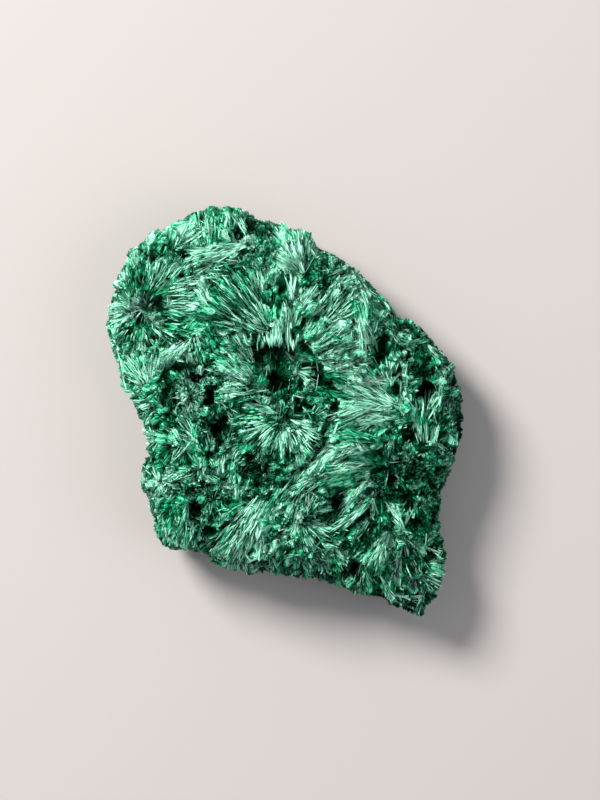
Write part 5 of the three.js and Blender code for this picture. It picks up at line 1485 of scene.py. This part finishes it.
def grow_tufts(name, tree, material, shape, fibres, roots, aims, ups, sizes, tones, sorts, seed):
    """One piece of the object: a tuft of that shape on each root."""
    carrier = bpy.data.meshes.new(name + "_points")
    carrier.from_pydata((roots * MM).tolist(), [], [])
    for key, rows in (("aim", aims), ("up", ups), ("size", sizes * MM)):
        carrier.attributes.new(key, "FLOAT_VECTOR", "POINT").data.foreach_set("vector", rows.ravel())
    for key, values in (("tone", tones), ("sort", sorts)):
        carrier.attributes.new(key, "FLOAT", "POINT").data.foreach_set("value", values)
    holder = in_scene(name + "_points", carrier)
    modifier = holder.modifiers.new("tufts", "NODES")
    modifier.node_group = tree
    counts = {"Fibres in a tuft": fibres, "Kinds of tuft": TUFT_KINDS, "Seed": seed}
    set_inputs(modifier, {**shape, **counts, "Material": material})
    holder.data.update()
    grown = holder.evaluated_get(bpy.context.evaluated_depsgraph_get())
    mesh = bpy.data.meshes.new_from_object(grown)
    bpy.data.objects.remove(holder)
    bpy.data.meshes.remove(carrier)
    mesh.name = name
    places = rows_of(mesh, "co")
    places[:, 2] = lowered(np.maximum(places[:, 2] / MM, FLOOR_GAP)) * MM
    mesh.vertices.foreach_set("co", places.ravel())
    return in_scene(name, mesh)


def sample_surface(points, faces, allowed, count, seed):
    """Random places on the triangles that are allowed, evenly by area."""
    pick = np.random.default_rng(seed)
    chosen = faces[allowed]
    a, b, c = (points[chosen[:, corner]] for corner in range(3))
    area = np.linalg.norm(np.cross(b - a, c - a), axis=1) / 2
    which = pick.choice(len(chosen), size=count, p=area / area.sum())
    u = np.sqrt(pick.uniform(size=count))
    v = pick.uniform(size=count)
    place = (1 - u)[:, None] * a[which] + (u * (1 - v))[:, None] * b[which] + (u * v)[:, None] * c[which]
    return place, chosen[which]


def nearest_on(tree, places):
    """The nearest places on the body and the body's normals there."""
    spots = np.empty((len(places), 3))
    facing = np.empty((len(places), 3))
    for row, place in enumerate(places):
        spots[row], facing[row], _face, _gap = tree.find_nearest(Vector(place))
    return spots, facing


def tuft_sorts(field, bundle, roots, streaks, shade):
    """Which sort of fibre each tuft is: mint, emerald or dusty."""
    hue = value_noise(roots, 2.4, 71) + 0.5 * value_noise(streaks, 0.5, 72) + 0.8 * field["emerald"]
    hue = hue + 0.5 * (bundle["hue"] - 0.5) - 0.5 * (shade - 0.5)
    sort = np.where(hue > 0.16, EMERALD, MINT)
    return np.where(value_noise(roots, 1.3, 73) + 0.9 * field["dusty"] > 0.70, DUSTY, sort)


def plan_tufts(tree, points, normals, faces, allowed, count, seed, on_side):
    """Where tufts stand on that part of the body: root, aim, up, size, tone and sort of each."""
    roots, corners = sample_surface(points, faces, allowed, count, seed)
    up = unit(normals[corners].sum(axis=1))
    field = fibre_frame(roots, up)
    across = field["across"]
    grain = field["grain"]
    hollow = field["hollow"]
    way = field["way"]
    pick = np.random.default_rng(seed + 1)
    bundle = turn_bundles(field)
    bare = 0.55 * (1 - field["broken"])
    keep = pick.uniform(size=count) > np.maximum(np.maximum(0.92 * hollow, 0.9 * bundle["sunk"]), bare)
    swing = np.radians(pick.normal(0, 4 + 25 * grain)) - bundle["swing"]
    turned = way * np.cos(swing)[:, None] + np.cross(up, way) * np.sin(swing)[:, None]
    length = TUFT_LENGTH * pick.uniform(0.6, 1.4, count) * (1 - 0.62 * grain) * (1 + 0.7 * field["silk"])
    length = length * (0.55 if on_side else 1.0) * (0.4 + 0.6 * smoothstep(up[:, 2], 0.2, 0.7))
    ragged = 0.7 * value_noise(np.stack([across, across * 0, across * 0], 1), 0.6, 81)
    length = np.minimum(length, np.maximum(field["room"] + ragged, 0.5))
    wanted = roots + turned * length[:, None]
    reached, facing = nearest_on(tree, wanted)
    keep &= np.linalg.norm(wanted - reached, axis=1) < OVERHANG
    lift = (0.02 + 0.12 * pick.uniform(size=count) ** 2) * (0.5 + field["broken"] + grain)
    lift = lift * (0.4 if on_side else 1.0)
    roots = roots - up * ROOT_DEPTH
    aim = unit(reached + facing * lift[:, None] - roots)
    size = np.stack([np.ones(count), np.ones(count), length], 1)
    streaks = np.stack([across, field["along"] * 0.16, across * 0], 1)
    shade = bundle_tone(field, bundle) + 0.10 * value_noise(streaks, 0.42, 31)
    # Painted shade: tufts in hollows are darker
    shade = (shade + pick.normal(0, 0.10, count)) * (1 - 0.6 * hollow)
    sort = tuft_sorts(field, bundle, roots, streaks, shade)
    shade = np.where(sort == DUSTY, np.minimum(shade, DUSTY_LIMIT), shade)
    return [part[keep] for part in (roots, aim, up, size, shade, sort)]


def beside(strands, seed):
    """Painted shadow lines: thin dark strands along one side of most strands."""
    gaps = []
    starts = np.array([row[:2] for row in strands])
    calm = ground_calm(starts[:, 0], starts[:, 1])
    for number, (x, y, heading, start, end, width, _tone, _sort, _ledge, over) in enumerate(strands):
        pick = own_numbers(seed, x, y, heading, start)
        off = pick.choice([-1, 1]) * (0.42 * width + 0.05)
        if pick.uniform() < SHADOW_LINES_BESIDE * (1 - 0.3 * calm[number]):
            gap_x = x - off * math.sin(heading)
            gap_y = y + off * math.cos(heading)
            gaps.append((gap_x, gap_y, heading, start, end, SHADOW_LINE_WIDTH, SHADOW_LINE_TONE, MINT, None, over))
    return gaps


def ground_at(tree, x, y, heading, out, off=0.0):
    """Where the body lies under a strand, that far out and that far aside, and its normal there."""
    sky_x = x + SHIFT_X + out * math.cos(heading) - off * math.sin(heading)
    sky_y = y + SHIFT_Y + out * math.sin(heading) + off * math.cos(heading)
    return tree.ray_cast(Vector((sky_x, sky_y, SKY)), Vector((0, 0, -1)))[:2]


def lay_strand(tree, strand_row, height, pick):
    """The short lengths of one strand: root, aim, up, size, tone, sort and whether it may lie over pits."""
    x, y, heading, start, end, width, tone, sort, ledge, over = strand_row
    way = (tree, x, y, heading)
    level = None if ledge is None else ground_at(*way, ledge)[0][2]
    steps = max(1, round((end - start) / RAY_STEP))
    marks = np.linspace(start, end, steps + 1)
    bend = pick.normal(0, RAY_BEND)
    aside = pick.normal(0, RAY_WOBBLE, steps + 1) + bend * (marks - start) ** 2
    lengths = []
    for number in range(steps):
        near = marks[number] - RAY_LAP
        far = marks[number + 1] + RAY_LAP
        left_out = pick.uniform() < RAYS_LEFT_OUT
        ends = (ground_at(*way, near, aside[number]), ground_at(*way, far, aside[number + 1]))
        if left_out or any(spot is None for spot, _up in (*ends, ground_at(*way, far + 0.2))):
            continue
        root = np.array(ends[0][0]) + [0, 0, 0.02]
        tip = np.array(ends[1][0]) + [0, 0, height + 0.25 * width]
        up = np.array(ends[0][1]) + np.array(ends[1][1])
        if level is not None and far > ledge:
            root[2] = max(root[2], level - 0.12 * (near - ledge))
            tip[2] = max(tip[2], level - 0.12 * (far - ledge) + pick.uniform(0, 0.2))
            up = np.array([0.0, 0.0, 1.0])
        length = np.linalg.norm(tip - root)
        if length > 2.2 * (far - near) or up[2] < 0.5:
            continue
        size = (width / RAY_UNIT * pick.uniform(0.8, 1.25), width / RAY_UNIT, length * 1.1)
        shade = drawn_in(tone) + pick.normal(0, 0.12)
        lengths.append((root, (tip - root) / length, unit(up), size, shade, sort, over))
    return lengths


def plan_rays(tree, strands, height, seed):
    """The strands of the table, laid along the body in short lengths."""
    rows = []
    for strand_row in strands:
        rows += lay_strand(tree, strand_row, height, own_numbers(seed, *strand_row[:4]))
    *parts, over = (np.array(part) for part in zip(*rows))
    hollow = hollowness(parts[0][:, 0] - SHIFT_X, parts[0][:, 1] - SHIFT_Y)
    keep = (hollow < PIT_EDGE) | over
    roots, aims, ups, sizes, tones, sorts = (part[keep] for part in parts)
    change, _emerald, _dusty = patch_colours(roots[:, 0] - SHIFT_X, roots[:, 1] - SHIFT_Y)
    return roots, aims, ups, sizes, kept_between(tones + RAYS_FOLLOW * change), sorts


def add_piece(piece, body_name="root"):
    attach(piece, body_name)


# Build

body_mesh, body_points, body_normals = build_body()
CENTRES, CENTRE_TONES = scattered_centres(body_points, body_normals, SIDE_SPRAYS, SIDE_SEED)
body_points = roughen_body(body_mesh, body_points, body_normals)
body_mesh.materials.append(body_material())
body = in_scene("malachite_body", body_mesh)
add_piece(body)
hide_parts("malachite")

corner_list = np.empty(len(body_mesh.polygons) * 3, dtype=np.int64)
body_mesh.polygons.foreach_get("vertices", corner_list)
body_faces = corner_list.reshape(-1, 3)
ground = BVHTree.FromPolygons(body_points.tolist(), body_faces.tolist(), all_triangles=True)
face_up = body_normals[body_faces].mean(axis=1)[:, 2]
face_height = body_points[body_faces].mean(axis=1)[:, 2]

silk = fibre_material()
tufts = tuft_tree()

# Tufts, by what they grow on: how many are tried and the seed
REGIONS = [
    ("face", face_up > FACE_TILT, FACE_TUFTS, 500),
    ("side", (face_up <= FACE_TILT) & (face_height > SIDE_FOOT), SIDE_TUFTS, 600),
]
for region, allowed, count, seed in REGIONS:
    parts = plan_tufts(ground, body_points, body_normals, body_faces, allowed, count, seed, region == "side")
    order = np.argsort(parts[0][:, 1])
    pieces = max(1, math.ceil(len(order) / PIECE_TUFTS))
    for number, rows in enumerate(np.array_split(order, pieces)):
        name = f"{region}_fibres_{number + 1}"
        chosen = [part[rows] for part in parts]
        add_piece(grow_tufts(name, tufts, silk, TUFT_SIZES, TUFT_FIBRES, *chosen, seed + number))

# Strands and their painted shadow lines: their height in mm, fibres in a tuft, and the seeds of the laying
# and the fibres
STRAND_PIECES = [
    ("face_strands", STRANDS, 0.06, RAY_FIBRES, 703, 700),
    ("face_shadow_lines", beside(STRANDS, 704), 0.03, SHADOW_LINE_FIBRES, 705, 701),
]
for name, strands, height, fibres, laying_seed, seed in STRAND_PIECES:
    laid = plan_rays(ground, strands, height, laying_seed)
    add_piece(grow_tufts(name, tufts, silk, RAY_SIZES, fibres, *laid, seed))

# Floor, light and camera


def plain_floor():
    work = bmesh.new()
    bmesh.ops.create_grid(work, x_segments=1, y_segments=1, size=0.6)
    mesh = bpy.data.meshes.new("floor")
    work.to_mesh(mesh)
    work.free()
    settings = {"Base Color": (0.42, 0.39, 0.375, 1), "Roughness": 0.9}
    mesh.materials.append(new_material("pale paper", settings)[0])
    floor = in_scene("floor", mesh)
    floor.location.z = -0.00002


def area_light(name, place, size, power, colour):
    """A round soft light that looks at the middle of the slab."""
    data = bpy.data.lights.new(name, "AREA")
    data.shape = "DISK"
    data.size = size
    data.energy = power
    data.color = colour
    lamp = in_scene(name, data)
    lamp.location = place
    lamp.rotation_euler = (Vector((0, 0, 0.006)) - Vector(place)).to_track_quat("-Z", "Y").to_euler()


plain_floor()
area_light("key", (-0.28, 0.26, 0.36), 0.20, 5.2, (1.0, 0.98, 0.95))
area_light("fill", (0.35, -0.10, 0.40), 0.4, 0.7, (0.95, 0.98, 1.0))

scene = bpy.context.scene
scene.world = bpy.data.worlds.new("studio")
scene.world.use_nodes = True
sky = scene.world.node_tree.nodes["Background"].inputs
sky["Color"].default_value = (0.9, 0.93, 1.0, 1)
sky["Strength"].default_value = 0.45
scene.view_settings.view_transform = "Standard"

lens = bpy.data.cameras.new("camera")
lens.sensor_width = 36.0
lens.lens = lens.sensor_width * CAMERA_DISTANCE / VIEW_TALL
lens.clip_end = 10.0
scene.camera = in_scene("camera", lens)
scene.camera.location = (VIEW_X * MM, VIEW_Y * MM, (OUTLINE_HEIGHT + CAMERA_DISTANCE) * MM)
